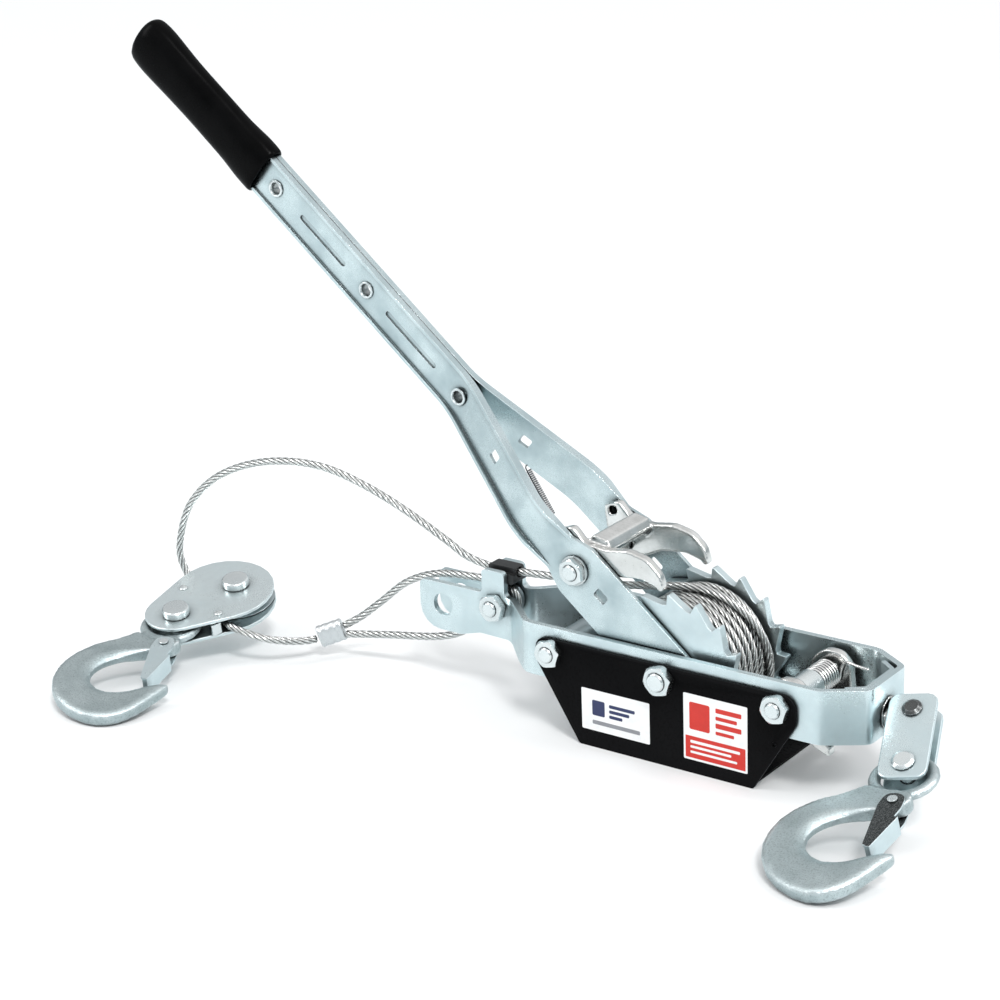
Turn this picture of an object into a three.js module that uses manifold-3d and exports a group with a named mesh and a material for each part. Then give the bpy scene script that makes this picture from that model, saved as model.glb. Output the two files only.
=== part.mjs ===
// Come-along winch: a hand-worked ratchet cable puller with two ratchet wheels on one drum.
// Frame strap with two waisted arms and a tapered nose, U-shaped guard under the drum, forked
// lever handle with drive pawl, holding pawl, wire rope, rope block and two latched hooks.
//
// Millimetres. +Z up, +X from the drum towards the nose with the swivel hook, -Y is the front,
// the side with the nuts. The origin is on the underside of the guard, straight below the drum
// axle; everything is built in a group raised to the axle, so z = 0 there is the axle.
import * as THREE from "three";
import { mergeVertices } from "three/addons/utils/BufferGeometryUtils.js";
import Module from "manifold-3d";

const wasm = await Module();
wasm.setup();

// ---------------------------------------------------------------- driving dimensions
const AXLE_Z = 56; // drum axle above the guard's underside
const BOLT_PITCH = 79; // left bolt - axle - right bolt
const GAP = 0.35; // clearance between separate pieces
const BOLT_R = 5;
const AXLE_R = 6;
const HOLE_PLAY = 0.4; // radial play round the bolts
const BOLT_HOLE_R = BOLT_R + HOLE_PLAY;
const AXLE_HOLE_R = AXLE_R + HOLE_PLAY;

const STRAP_T = 4; // frame strap thickness
const STRAP_TOP = 15;
const STRAP_BOT = -18.7;
const SIDE_Y = 37; // outer face of the wide frame sides
const WAIST_Y = 12; // outer face of the narrow arms
const TAB_X0 = -149.6; // rope-guide tabs on the narrow arms
const TAB_X1 = -132.4;
const NOSE_X = 130; // outer face of the nose
const SWIVEL_Z = -6; // swivel axis
const ANCHOR_X = -140; // rope anchor bolt
const ANCHOR_Z = 7.5;

const GUARD_Y = SIDE_Y + GAP; // inner face of the guard plates
const GUARD_T = 1.8;
const GUARD_OUT = GUARD_Y + GUARD_T;

const TEETH = 16;
const WHEEL_TIP = 49.1;
const WHEEL_ROOT = 43;
const WHEEL_PHASE = 2.5; // degrees
const WHEEL_Y0 = 22.4;
const WHEEL_Y1 = 28.2;
const PAWL_Y0 = WHEEL_Y0 - 0.2; // the pawl cheeks are a little wider than the wheels
const PAWL_Y1 = WHEEL_Y1 + 0.3;

const LEVER_ANGLE = 140.2; // degrees from +X, in the XZ plane
const PAWL_U = 84; // drive pawl pivot from the axle along the lever

const ROPE_R = 2.5;
const GUIDE_Z = 28; // rope height in the guide

// ---------------------------------------------------------------- transforms
const rad = (degrees) => degrees * Math.PI / 180;
const shift = (x, y, z) => new THREE.Matrix4().makeTranslation(x, y, z);
const turnX = (degrees) => new THREE.Matrix4().makeRotationX(rad(degrees));
const turnY = (degrees) => new THREE.Matrix4().makeRotationY(rad(degrees));
const turnZ = (degrees) => new THREE.Matrix4().makeRotationZ(rad(degrees));
const chain = (...matrices) =>
  matrices.reduce((product, m) => product.multiply(m), new THREE.Matrix4());

// ---------------------------------------------------------------- outlines
const polar = (radius, degrees) => [radius * Math.cos(rad(degrees)), radius * Math.sin(rad(degrees))];
const rect = (x0, x1, y0, y1) => [[x0, y0], [x1, y0], [x1, y1], [x0, y1]];

function arc(x, y, radius, steps, from, to) {
  return Array.from({ length: steps + 1 }, (_, i) => {
    const [dx, dy] = polar(radius, from + (to - from) * i / steps);
    return [x + dx, y + dy];
  });
}

// Slot outline with round ends centred on x0 and x1.
const stadium = (x0, x1, radius, steps) =>
  [...arc(x1, 0, radius, steps, -90, 90), ...arc(x0, 0, radius, steps, 90, 270)];

// Replaces corners by arcs; radii is one radius or one per vertex, step is degrees per segment.
function roundCorners(points, radii, step, closed) {
  const count = points.length;
  const out = [];
  points.forEach((point, i) => {
    const wanted = Array.isArray(radii) ? radii[i] : radii;
    const isEnd = !closed && (i === 0 || i === count - 1);
    if (isEnd || !wanted) {
      out.push(point);
      return;
    }
    const corner = new THREE.Vector2(...point);
    const before = new THREE.Vector2(...points[(i + count - 1) % count]).sub(corner);
    const after = new THREE.Vector2(...points[(i + 1) % count]).sub(corner);
    const longest = 0.49 * Math.min(before.length(), after.length());
    before.normalize();
    after.normalize();
    const half = Math.acos(THREE.MathUtils.clamp(before.dot(after), -1, 1)) / 2;
    if (Math.abs(half - Math.PI / 2) < 1e-3) { // straight through
      out.push(point);
      return;
    }
    const tangent = Math.min(wanted / Math.tan(half), longest);
    const radius = tangent * Math.tan(half);
    const centre = before.clone().add(after).normalize()
      .multiplyScalar(radius / Math.sin(half)).add(corner);
    const start = before.multiplyScalar(tangent).add(corner).sub(centre);
    const end = after.multiplyScalar(tangent).add(corner).sub(centre);
    const angle = Math.atan2(start.y, start.x);
    let sweep = Math.atan2(end.y, end.x) - angle;
    while (sweep > Math.PI) sweep -= 2 * Math.PI;
    while (sweep < -Math.PI) sweep += 2 * Math.PI;
    const steps = Math.max(2, Math.ceil(Math.abs(sweep) * 180 / Math.PI / step));
    for (let j = 0; j <= steps; j++) {
      const a = angle + sweep * j / steps;
      out.push([centre.x + radius * Math.cos(a), centre.y + radius * Math.sin(a)]);
    }
  });
  return out;
}
const roundedLoop = (points, radii, step) => roundCorners(points, radii, step, true);
const roundedLine = (points, radii, step) => roundCorners(points, radii, step, false);

// Offsets an open polyline to its left by a constant or by distance(point).
function offset(line, distance) {
  const last = line.length - 1;
  const leftNormal = (a, b) => new THREE.Vector2(a[1] - b[1], b[0] - a[0]).normalize();
  return line.map((point, i) => {
    const next = i < last ? leftNormal(point, line[i + 1]) : null;
    const previous = i > 0 ? leftNormal(line[i - 1], point) : next;
    const normal = previous.clone().add(next ?? previous).normalize();
    const mitre = 1 / Math.max(0.5, normal.dot(previous));
    const reach = (typeof distance === "function" ? distance(point) : distance) * mitre;
    return [point[0] + normal.x * reach, point[1] + normal.y * reach];
  });
}
const ribbon = (line, left, right = left) =>
  [...offset(line, left), ...offset(line, -right).reverse()];

// Smooth open curve through 2-D points.
function smooth(points, steps) {
  const knots = points.map(([x, y]) => new THREE.Vector3(x, y, 0));
  const curve = new THREE.CatmullRomCurve3(knots, false, "catmullrom");
  return curve.getPoints(steps).map(({ x, y }) => [x, y]);
}

// ---------------------------------------------------------------- solids
const union = (...solids) => solids.reduce((a, b) => a.add(b));
const cut = (solid, ...tools) => tools.reduce((a, b) => a.subtract(b), solid);

function toSolid(geometry, matrix = new THREE.Matrix4()) {
  for (const key of Object.keys(geometry.attributes)) {
    if (key !== "position") geometry.deleteAttribute(key);
  }
  const merged = mergeVertices(geometry.applyMatrix4(matrix), 1e-4);
  return new wasm.Manifold(new wasm.Mesh({
    numProp: 3,
    vertProperties: new Float32Array(merged.attributes.position.array),
    triVerts: new Uint32Array(merged.index.array),
  }));
}

function toGeometry(solid) {
  const mesh = solid.getMesh();
  const geometry = new THREE.BufferGeometry();
  const positions = new Float32Array(mesh.vertProperties);
  geometry.setAttribute("position", new THREE.BufferAttribute(positions, 3));
  geometry.setIndex(new THREE.BufferAttribute(new Uint32Array(mesh.triVerts), 1));
  geometry.computeVertexNormals();
  return geometry;
}

// Closed shape, always anticlockwise.
function shapeOf(points) {
  const corners = points.map(([x, y]) => new THREE.Vector2(x, y));
  if (THREE.ShapeUtils.isClockWise(corners)) corners.reverse();
  const shape = new THREE.Shape(corners);
  shape.closePath();
  return shape;
}
// An XZ outline between y0 and y1.
function plateY(points, y0, y1) {
  const geometry = new THREE.ExtrudeGeometry(shapeOf(points), {
    depth: y1 - y0, bevelEnabled: false,
  });
  return toSolid(geometry, chain(shift(0, y1, 0), turnX(90)));
}
// An XY outline between z0 and z1.
function plateZ(points, z0, z1, bevel = 0) {
  const geometry = new THREE.ExtrudeGeometry(shapeOf(points), {
    depth: z1 - z0 - 2 * bevel, bevelEnabled: bevel > 0, bevelSegments: 1,
    bevelThickness: bevel, bevelSize: bevel, bevelOffset: -bevel,
  });
  return toSolid(geometry, shift(0, 0, z0 + bevel));
}
// Two plates, mirrored across the middle.
const pairY = (points, near, far) => union(plateY(points, -far, -near), plateY(points, near, far));
const pairZ = (points, near, far) => union(plateZ(points, -far, -near), plateZ(points, near, far));

function box(x0, x1, y0, y1, z0, z1) {
  return toSolid(new THREE.BoxGeometry(x1 - x0, y1 - y0, z1 - z0),
    shift((x0 + x1) / 2, (y0 + y1) / 2, (z0 + z1) / 2));
}

const cylinder = (radius, length, segments, matrix) =>
  toSolid(new THREE.CylinderGeometry(radius, radius, length, segments), matrix);
const rodX = (z, radius, x0, x1, segments) =>
  cylinder(radius, x1 - x0, segments, chain(shift((x0 + x1) / 2, 0, z), turnZ(90)));
const rodY = (x, z, radius, y0, y1, segments = 18) =>
  cylinder(radius, y1 - y0, segments, shift(x, (y0 + y1) / 2, z));
const rodZ = (x, y, radius, z0, z1, segments) =>
  cylinder(radius, z1 - z0, segments, chain(shift(x, y, (z0 + z1) / 2), turnX(90)));

// Cutting tools long enough to pass through any piece they are used on.
const throughY = (points) => plateY(points, -60, 60);
const throughZ = (points) => plateZ(points, -60, 60);
const boreY = (x, z, radius, segments) => rodY(x, z, radius, -60, 60, segments);
const boreZ = (x, y, radius, segments) => rodZ(x, y, radius, -20, 20, segments);

const tubeY = (x, z, outer, inner, y0, y1, segments) =>
  cut(rodY(x, z, outer, y0, y1, segments), boreY(x, z, inner, segments));

// Turned parts; the profile is [radius, position along the axis].
const turned = (profile, segments, matrix) =>
  toSolid(new THREE.LatheGeometry(profile.map((p) => new THREE.Vector2(...p)), segments), matrix);
const latheY = (profile, x, z, segments) => turned(profile, segments, shift(x, 0, z));
const latheZ = (profile, x, y, segments) =>
  turned(profile, segments, chain(shift(x, y, 0), turnX(90)));

// Hexagon prism along Y with both ends chamfered.
function hexY(x, z, flats, y0, y1, turn) {
  const corner = flats / Math.sqrt(3);
  const matrix = chain(shift(x, (y0 + y1) / 2, z), turnY(turn));
  const prism = cylinder(corner, y1 - y0, 6, matrix);
  const inner = flats / 2 * 1.02;
  const outer = corner + 0.1;
  const drop = (outer - inner) * 0.6;
  return prism.intersect(latheY([
    [0, y0], [inner, y0], [outer, y0 + drop], [outer, y1 - drop], [inner, y1], [0, y1],
  ], x, z, 12));
}

// Six-sided bar along 3-D points.
function bar(points, radius, steps) {
  const knots = points.map((p) => new THREE.Vector3(...p));
  const extrudePath = new THREE.CatmullRomCurve3(knots, false, "centripetal");
  const ring = arc(0, 0, radius, 6, 0, 360).slice(0, -1).map((p) => new THREE.Vector2(...p));
  return toSolid(new THREE.ExtrudeGeometry(new THREE.Shape(ring), {
    steps, extrudePath, bevelEnabled: false,
  }));
}

// ---------------------------------------------------------------- scene graph
function group(parent, { at = [0, 0, 0], turn = [0, 0, 0], order = "XYZ" }) {
  const child = new THREE.Group();
  child.position.set(...at);
  child.rotation.set(...turn.map(rad), order);
  parent.add(child);
  return child;
}
const winch = new THREE.Group();
winch.name = "come_along_winch";
const body = group(winch, { at: [0, 0, AXLE_Z] });

const FINISH = {
  zinc: { color: 0xc9d6da, roughness: 0.32, metalness: 0.9 },
  zinc_dark: { color: 0x9aa6ab, roughness: 0.38, metalness: 0.9 },
  cast: { color: 0xb9b9b4, roughness: 0.36, metalness: 0.95 },
  forged: { color: 0xb8c1c4, roughness: 0.42, metalness: 0.9 },
  black_paint: { color: 0x0c0c0d, roughness: 0.42, metalness: 0.1 },
  grip: { color: 0x08080a, roughness: 0.22, metalness: 0 },
  rope: { color: 0xb3b3ad, roughness: 0.42, metalness: 0.85 },
  black_plastic: { color: 0x101012, roughness: 0.5, metalness: 0 },
  spring: { color: 0x3c3f41, roughness: 0.4, metalness: 0.85 },
  ferrule: { color: 0xc8cccd, roughness: 0.35, metalness: 0.9 },
};
function add(name, solid, finish, parent = body) {
  const material = new THREE.MeshStandardMaterial(FINISH[finish]);
  const mesh = new THREE.Mesh(toGeometry(solid), material);
  mesh.name = name;
  parent.add(mesh);
}

// ---------------------------------------------------------------- frame
// Holes shared by the strap and the guard.
const frameHoles = () => [
  boreY(-BOLT_PITCH, 0, BOLT_HOLE_R), boreY(0, 0, AXLE_HOLE_R), boreY(BOLT_PITCH, 0, BOLT_HOLE_R),
];
const swivelHole = () => rodX(SWIVEL_Z, 8.4, NOSE_X - 15, NOSE_X + 15, 20);

// One strap: left end, waist, wide side, tapered nose, across, and back along the far side.
function frameStrap() {
  const half = STRAP_T / 2;
  const left = -198.5;
  const front = [
    [left, -(WAIST_Y - half)], [-127, -(WAIST_Y - half)], [-99.5, -(SIDE_Y - half)],
    [104.5, -(SIDE_Y - half)], [NOSE_X - half, -(21.9 - half)],
  ];
  const rear = front.map(([x, y]) => [x, -y]).reverse();
  const line = roundedLine([...front, ...rear], [0, 10, 10, 12, 5, 5, 12, 10, 10, 0], 34);
  const right = NOSE_X + 1; // beyond the nose, so the side view leaves it whole
  const tabTop = 31;
  const side = roundedLoop([
    [left, STRAP_TOP], [left, -17], [-167, -17], [-152, -12.8], [-130, -13.4],
    [-114, STRAP_BOT], [right, STRAP_BOT], [right, STRAP_TOP],
    [TAB_X1, STRAP_TOP], [TAB_X1, tabTop], [TAB_X0, tabTop], [TAB_X0, STRAP_TOP],
  ], [4, 15, 8, 8, 8, 8, 0, 0, 3, 3, 3, 3], 26);
  return cut(throughZ(ribbon(line, half)).intersect(throughY(side)),
    ...frameHoles(),
    boreY(ANCHOR_X, ANCHOR_Z, BOLT_HOLE_R),
    boreY(-180.5, 0.5, 7.5), // hole near the left end
    swivelHole());
}
add("frame_strap", frameStrap(), "zinc");

// Inner end plate: doubles the nose, folded flanges lie along the tapered sides.
function nosePlate() {
  const half = 1.5; // half its thickness
  const x = NOSE_X - STRAP_T - GAP - half;
  const line = roundedLine([[114, -23.2], [x, -15.6], [x, 15.6], [114, 23.2]], [0, 3, 3, 0], 30);
  return cut(plateZ(ribbon(line, half), STRAP_BOT + 1.5, STRAP_TOP - 0.8), swivelHole());
}
add("nose_plate", nosePlate(), "zinc");

// U-shaped guard: two side plates and a floor.
function guard() {
  const top = 8.3;
  const outline = roundedLoop([
    [-90.4, top], [-90.4, -6.5], [-59.5, -AXLE_Z], [62.5, -AXLE_Z], [91, -9.5], [91, top],
  ], [10, 8, 2.5, 2.5, 8, 12.5], 26);
  const floorY = GUARD_OUT - 0.5;
  const floor = box(-57.5, 60.7, -floorY, floorY, -AXLE_Z, -AXLE_Z + GUARD_T);
  return cut(union(pairY(outline, GUARD_Y, GUARD_OUT), floor),
    ...frameHoles(), boreY(77, -24, 1.7, 10));
}
add("guard", guard(), "black_paint");

// ---------------------------------------------------------------- frame bolts
// Round shank from its tip at -Y up to top; chamfer is [radial, axial].
function boltShank(x, z, radius, tip, top, chamfer) {
  const [inset, rise] = chamfer;
  return latheY([
    [0, tip], [radius - inset, tip], [radius, tip + rise], [radius, top], [0, top],
  ], x, z, 14);
}
// Head on the +Y side, thread end through the nut on the -Y side; faceY is the clamped face.
function throughBolt(name, { x, z = 0, radius = BOLT_R, flats = 16, faceY = GUARD_OUT, tip }) {
  const seat = faceY + GAP;
  const shank = boltShank(x, z, radius, tip, seat + 1, [0.9, 1]);
  const head = hexY(x, z, flats, seat, seat + flats * 0.36, 10);
  add(name + "_bolt", union(shank, head), "zinc");
  const nut = hexY(x, z, flats, -seat - flats * 0.34, -seat, 17);
  add(name + "_nut", cut(nut, boreY(x, z, radius + 0.3, 14)), "zinc");
}
throughBolt("waist", { x: -BOLT_PITCH, tip: -46.6 });
throughBolt("drum_axle", { x: 0, radius: AXLE_R, flats: 17, tip: -47.2 });
throughBolt("holding_pawl", { x: BOLT_PITCH, tip: -46.6 });
throughBolt("rope_anchor", { x: ANCHOR_X, z: ANCHOR_Z, faceY: WAIST_Y, tip: -19.6 });

const SPACER_Y = SIDE_Y - STRAP_T - GAP;
add("waist_spacer", tubeY(-BOLT_PITCH, 0, 8, BOLT_HOLE_R, -SPACER_Y, SPACER_Y), "zinc_dark");

const THIMBLE_R = 6.7; // bottom of the thimble groove
add("rope_thimble", latheY([
  [5.3, -7.3], [9.8, -7.3], [9.8, -6], [THIMBLE_R, -3], [THIMBLE_R, 3],
  [9.8, 6], [9.8, 7.3], [5.3, 7.3], [5.3, -7.3],
], ANCHOR_X, ANCHOR_Z, 20), "zinc_dark");

// Plastic insert between the arms, with a narrower cap between the tabs.
function ropeGuide() {
  const slab = (z0, z1, y) =>
    plateY(roundedLoop(rect(TAB_X0 + 0.6, TAB_X1 + 4, z0, z1), 1.6, 45), -y, y);
  const slope = 3; // degrees
  const place = chain(shift(-140, 0, GUIDE_Z + 0.2), turnY(-slope), turnZ(90));
  const hole = cylinder(3.4, 60, 14, place);
  return cut(union(slab(22.4, 29, WAIST_Y - STRAP_T - GAP), slab(23, 32.6, 4.8)), hole);
}
add("rope_guide_insert", ropeGuide(), "black_plastic");

// ---------------------------------------------------------------- drum
const DRUM_R = 15;
const DRUM_Y = WHEEL_Y0 - GAP;
add("drum_core", tubeY(0, 0, DRUM_R, AXLE_HOLE_R, -DRUM_Y, DRUM_Y), "zinc_dark");

// One tooth: [radius, degrees past the tooth's angle].
const TOOTH = [
  [WHEEL_TIP, -1.6], [WHEEL_TIP, 0], [WHEEL_ROOT, 1.2], [WHEEL_ROOT - 0.4, 5], [WHEEL_ROOT + 1.4, 11],
];
function ratchetWheel(y0, y1) {
  const outline = [];
  for (let k = 0; k < TEETH; k++) {
    const angle = WHEEL_PHASE + k * 360 / TEETH;
    outline.push(...TOOTH.map(([radius, turn]) => polar(radius, angle + turn)));
  }
  return cut(plateY(outline, y0, y1), boreY(0, 0, AXLE_HOLE_R));
}
add("ratchet_wheel_front", ratchetWheel(-WHEEL_Y1, -WHEEL_Y0), "zinc");
add("ratchet_wheel_rear", ratchetWheel(WHEEL_Y0, WHEEL_Y1), "zinc");

// Wound rope: ridged sleeve, one ridge per turn.
function ropeCoils() {
  const crest = 41.8;
  const valley = crest - 1.6;
  const turns = 7;
  const pitch = 2 * DRUM_Y / turns;
  const profile = [[DRUM_R + GAP, -DRUM_Y], [valley, -DRUM_Y]];
  for (let i = 0; i < turns; i++) {
    const y = -DRUM_Y + pitch * (i + 0.5);
    profile.push([crest, y - 1], [crest, y + 1], [valley, y + pitch / 2]);
  }
  profile.push([DRUM_R + GAP, DRUM_Y], [DRUM_R + GAP, -DRUM_Y]);
  return latheY(profile, 0, 0, 20);
}
add("rope_coils", ropeCoils(), "rope");

// ---------------------------------------------------------------- lever handle
// Lever frame: local +X (u) runs from the axle to the grip, local +Z faces down and towards -X.
const lever = group(body, { turn: [0, -LEVER_ANGLE, 0] });
const ARM_Y0 = 29; // fork arms, between wheels and frame
const ARM_Y1 = 32;
const ARM_MID = (ARM_Y0 + ARM_Y1) / 2;
const WEB_HALF = 1.4; // half the web thickness
const NECK_Y = GAP + WEB_HALF; // web centre where the channels run back to back
const LEVER_HALF_W = 14.2;
const BLANK_R = 19.5; // half width of the flat blank, and its round end
const LEVER_END = 530;
const EYELETS = [397, 308, 217]; // hollow rivets along the lever
const GROOVES = [[331, 371], [243, 287]]; // [start, end] of the pressed grooves

// One channel, its flanges pointing outwards; side is -1 for front (-Y), 1 for rear.
function leverChannel(side) {
  const mirrored = (points) => points.map(([u, y]) => [u, y * side]);
  // web centre line in plan, [u, |y|]: fork arm, slope, neck
  const line = roundedLine([
    [-25, ARM_MID], [128, ARM_MID], [216, NECK_Y], [LEVER_END, NECK_Y],
  ], [0, 62, 62, 0], 6);
  // flat blank round the axle, narrowing to the channel beyond the pawl bolt
  const edge = [[60, BLANK_R], [84, BLANK_R], [99, LEVER_HALF_W], [LEVER_END, LEVER_HALF_W]];
  const outline = throughY([
    ...arc(0, 0, BLANK_R, 10, 90, 270),
    ...roundedLine([...edge.map(([u, z]) => [u, -z]), ...edge.toReversed()],
      [0, 6, 6, 0, 0, 6, 6, 0], 45),
  ]);
  const web = throughZ(mirrored(ribbon(line, WEB_HALF))).intersect(outline);

  // flanges, deeper on the fork than on the neck
  const flangeLine = [[96, ARM_MID], ...line.filter(([u]) => u > 100)];
  const depth = ([u]) =>
    (u < 100 ? 1.3 : 2.7 + 2.3 * THREE.MathUtils.clamp((245 - u) / 60, 0, 1));
  const insideZ = LEVER_HALF_W - 2;
  const flanges = cut(throughZ(mirrored(ribbon(flangeLine, depth, 1.2))).intersect(outline),
    throughY(rect(60, LEVER_END + 5, -insideZ, insideZ)));

  const grooveY = side < 0 ? [-12, -2.1] : [2.1, 12];
  return cut(union(web, flanges),
    boreY(0, 0, AXLE_HOLE_R, 14), boreY(PAWL_U, 0, BOLT_HOLE_R, 14),
    ...EYELETS.map((u) => boreY(u, 0, 4.9, 12)),
    throughY(roundedLoop(rect(57, 66, -4.2, 2.2), 1.2, 60)),
    throughY(roundedLoop(rect(168, 175, -3.4, 3.4), 1.2, 60)),
    ...GROOVES.map(([u0, u1]) => plateY(stadium(u0, u1, 1.9, 4), ...grooveY)));
}
add("lever_channel_front", leverChannel(-1), "zinc", lever);
add("lever_channel_rear", leverChannel(1), "zinc", lever);

// Hollow rivet through both channels; seat is |y| under its flared rims.
function eyelet(u, seat) {
  const rim = seat + 0.9;
  return latheY([
    [3.2, 1 - seat], [4.3, -rim], [5.4, -rim + 0.2], [5.7, -seat], [4.5, -seat], [4.5, seat],
    [5.7, seat], [5.4, rim - 0.2], [4.3, rim], [3.2, seat - 1], [3.2, 1 - seat],
  ], u, 0, 12);
}
EYELETS.forEach((u, i) => {
  const seat = i === 2 ? 5.6 : NECK_Y + WEB_HALF + GAP; // the last one sits where the fork opens
  add("lever_eyelet_" + (i + 1), eyelet(u, seat), "zinc", lever);
});

const PAWL_SEAT = ARM_Y1 + GAP;
function drivePawlBolt() {
  const shank = boltShank(PAWL_U, 0, BOLT_R, -PAWL_SEAT - 7, PAWL_SEAT + 1, [0.8, 0.8]);
  return union(shank, hexY(PAWL_U, 0, 15, PAWL_SEAT, PAWL_SEAT + 5, 12));
}
function drivePawlNut() {
  const hex = hexY(PAWL_U, 0, 15, -PAWL_SEAT - 5.6, -PAWL_SEAT - 1.2, 20);
  const washer = tubeY(PAWL_U, 0, 9.4, 5.3, -PAWL_SEAT - 1.3, -PAWL_SEAT);
  return union(cut(hex, boreY(PAWL_U, 0, 5.3)), washer);
}
add("drive_pawl_bolt", drivePawlBolt(), "zinc", lever);
add("drive_pawl_nut", drivePawlNut(), "zinc", lever);

// Grip stations: [u, half width along Z, half width along Y].
const GRIP_U0 = 411;
const GRIP_U1 = 536;
const GRIP_STATIONS = [
  [GRIP_U0, 16.2, 8.4], [GRIP_U0 + 3, 17.8, 9.8], [GRIP_U0 + 12, 18, 9.8], [440, 16.9, 8.9],
  [480, 16.7, 8.8], [505, 17.4, 9.4], [520, 17.9, 9.8], [530, 16.9, 9.2],
  [534.5, 13.2, 7.2], [GRIP_U1, 7, 4],
];
// Waisted rubber sleeve closed at the end, with a pocket for the channels.
function grip() {
  const sides = 14;
  const squared = (value) => Math.sign(value) * Math.abs(value) ** 0.78; // fuller than an ellipse
  const positions = [];
  for (const [u, halfZ, halfY] of GRIP_STATIONS) {
    for (let k = 0; k < sides; k++) {
      const angle = 2 * Math.PI * k / sides;
      positions.push(u, halfY * squared(Math.sin(angle)), halfZ * squared(Math.cos(angle)));
    }
  }
  const startCentre = positions.length / 3;
  const endCentre = startCentre + 1;
  positions.push(GRIP_U0, 0, 0, GRIP_U1 + 0.3, 0, 0);

  const triangles = [];
  const lastRing = (GRIP_STATIONS.length - 1) * sides;
  for (let ring = 0; ring < lastRing; ring += sides) {
    for (let k = 0; k < sides; k++) {
      const a = ring + k;
      const b = ring + (k + 1) % sides;
      triangles.push(a, a + sides, b, b, a + sides, b + sides);
    }
  }
  for (let k = 0; k < sides; k++) {
    const next = (k + 1) % sides;
    triangles.push(startCentre, k, next, endCentre, lastRing + next, lastRing + k);
  }
  const geometry = new THREE.BufferGeometry();
  geometry.setAttribute("position", new THREE.BufferAttribute(new Float32Array(positions), 3));
  geometry.setIndex(triangles);
  const pocketZ = LEVER_HALF_W + 0.4;
  return cut(toSolid(geometry),
    box(GRIP_U0 - 5, LEVER_END + 0.4, -4.9, 4.9, -pocketZ, pocketZ));
}
add("grip", grip(), "grip", lever);

// ---------------------------------------------------------------- pawls
// Each pawl has two cheeks, one per wheel, joined by a bridge.
function pawl(outline, bridge) {
  const bridgeY = PAWL_Y0 + 1;
  return union(pairY(outline, PAWL_Y0, PAWL_Y1), plateY(bridge, -bridgeY, bridgeY));
}

function drivePawl() {
  const [x, z] = polar(PAWL_U, LEVER_ANGLE); // its pivot
  const outline = roundedLoop([
    [-7.2, 49.6], [-10.5, 52.4], [-21, 55.2], [-38, 53], [-50, 47], [x - 2, z - 12],
    [x - 11, z - 5], [x - 13, z + 8], [x - 15, z + 22], [x - 4, z + 26], [-60, 70.5],
    [-45, 69], [-30, 71.5], [-16, 68.5], [-7, 60], [-4.6, 51],
  ], [0.6, 2, 12, 14, 8, 6, 6, 8, 3, 4, 6, 10, 14, 12, 10, 1], 30);
  const bridge = [[-60, 64], [-48, 63], [-44, 67], [-47, 73], [-57, 75], [-62, 69]];
  const earSlot = [[x - 10.5, z + 16], [x - 5, z + 18], [x - 6.5, z + 22.5], [x - 11.5, z + 21]];
  return cut(pawl(outline, bridge),
    boreY(x, z, BOLT_HOLE_R, 14), throughY(roundedLoop(earSlot, 0.8, 60)));
}
add("drive_pawl", drivePawl(), "cast");

// Extension spring from the lever to the pawl's ear, as a plain cylinder.
function drivePawlSpring() {
  const start = new THREE.Vector3(-86, -20, 78.4);
  const end = new THREE.Vector3(-112, -12.5, 106);
  const run = end.clone().sub(start);
  const length = run.length();
  const aim = new THREE.Quaternion()
    .setFromUnitVectors(new THREE.Vector3(0, 1, 0), run.normalize());
  const middle = start.add(end).multiplyScalar(0.5);
  const place = new THREE.Matrix4().compose(middle, aim, new THREE.Vector3(1, 1, 1));
  return cylinder(1.9, length, 10, place);
}
add("drive_pawl_spring", drivePawlSpring(), "spring");

function holdingPawl() {
  // its tip drops into the gullet two teeth below the wheel's phase angle
  const [x, z] = polar(WHEEL_TIP + 0.5, WHEEL_PHASE - 2 * 360 / TEETH + 4.2);
  const outline = roundedLoop([
    [x, z], [x + 3.4, z - 4.8], [55, -37], [72, -16], [84, -13], [96, -25], [108, -30],
    [107.5, -24], [94, -9], [93, 6], [86, 13], [76, 13.5], [67, 7], [65, -3], [53, -20],
    [x + 2.5, z + 3.2],
  ], [0.5, 2, 5, 8, 6, 8, 2, 3, 8, 8, 7, 8, 9, 8, 14, 2], 30);
  const bridge = [[86, -13], [93, -20], [96.5, -17.5], [89.5, -10.5]];
  return cut(pawl(outline, bridge), boreY(BOLT_PITCH, 0, BOLT_HOLE_R, 14));
}
// Torsion spring wound on the pawl bolt, leg resting behind the nose.
function holdingPawlSpring() {
  const coil = tubeY(BOLT_PITCH, 0, 9, 6.2, GAP, PAWL_Y0 - GAP, 16);
  const leg = bar([[BOLT_PITCH + 2, 17, 8], [BOLT_PITCH + 12, 17, 10.5], [109, 15, 10]], 0.9, 5);
  return union(coil, leg);
}
add("holding_pawl", holdingPawl(), "cast");
add("holding_pawl_sleeve",
  tubeY(BOLT_PITCH, 0, 9.5, BOLT_HOLE_R, -PAWL_Y0 + GAP, 0, 16), "zinc");
add("holding_pawl_spring", holdingPawlSpring(), "zinc_dark");

// ---------------------------------------------------------------- hooks
// Hook frame: eye centre at 0, local +X towards the point side, local -Y from eye to bowl.
const HOOK_T = 9; // hook body thickness
const HOOK_SCALE = 0.975; // applied to the two curves below
const LATCH_PIN = [6.5, -27.2];
const LATCH_T = 1.3;
const LATCH_Y = HOOK_T / 2 + GAP; // |z| of the latch cheeks' inner faces

// [x, y] from the eye round the back and the bowl to the point.
const HOOK_OUTER = [
  [-6, -17], [-15, -15], [-19.5, -19], [-27, -27], [-37, -34], [-47.6, -45.5], [-53, -61],
  [-52, -79], [-43.5, -96], [-28, -109], [-10, -115], [4, -111.5], [14, -101], [20.5, -87],
  [26.4, -72.6],
];
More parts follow.
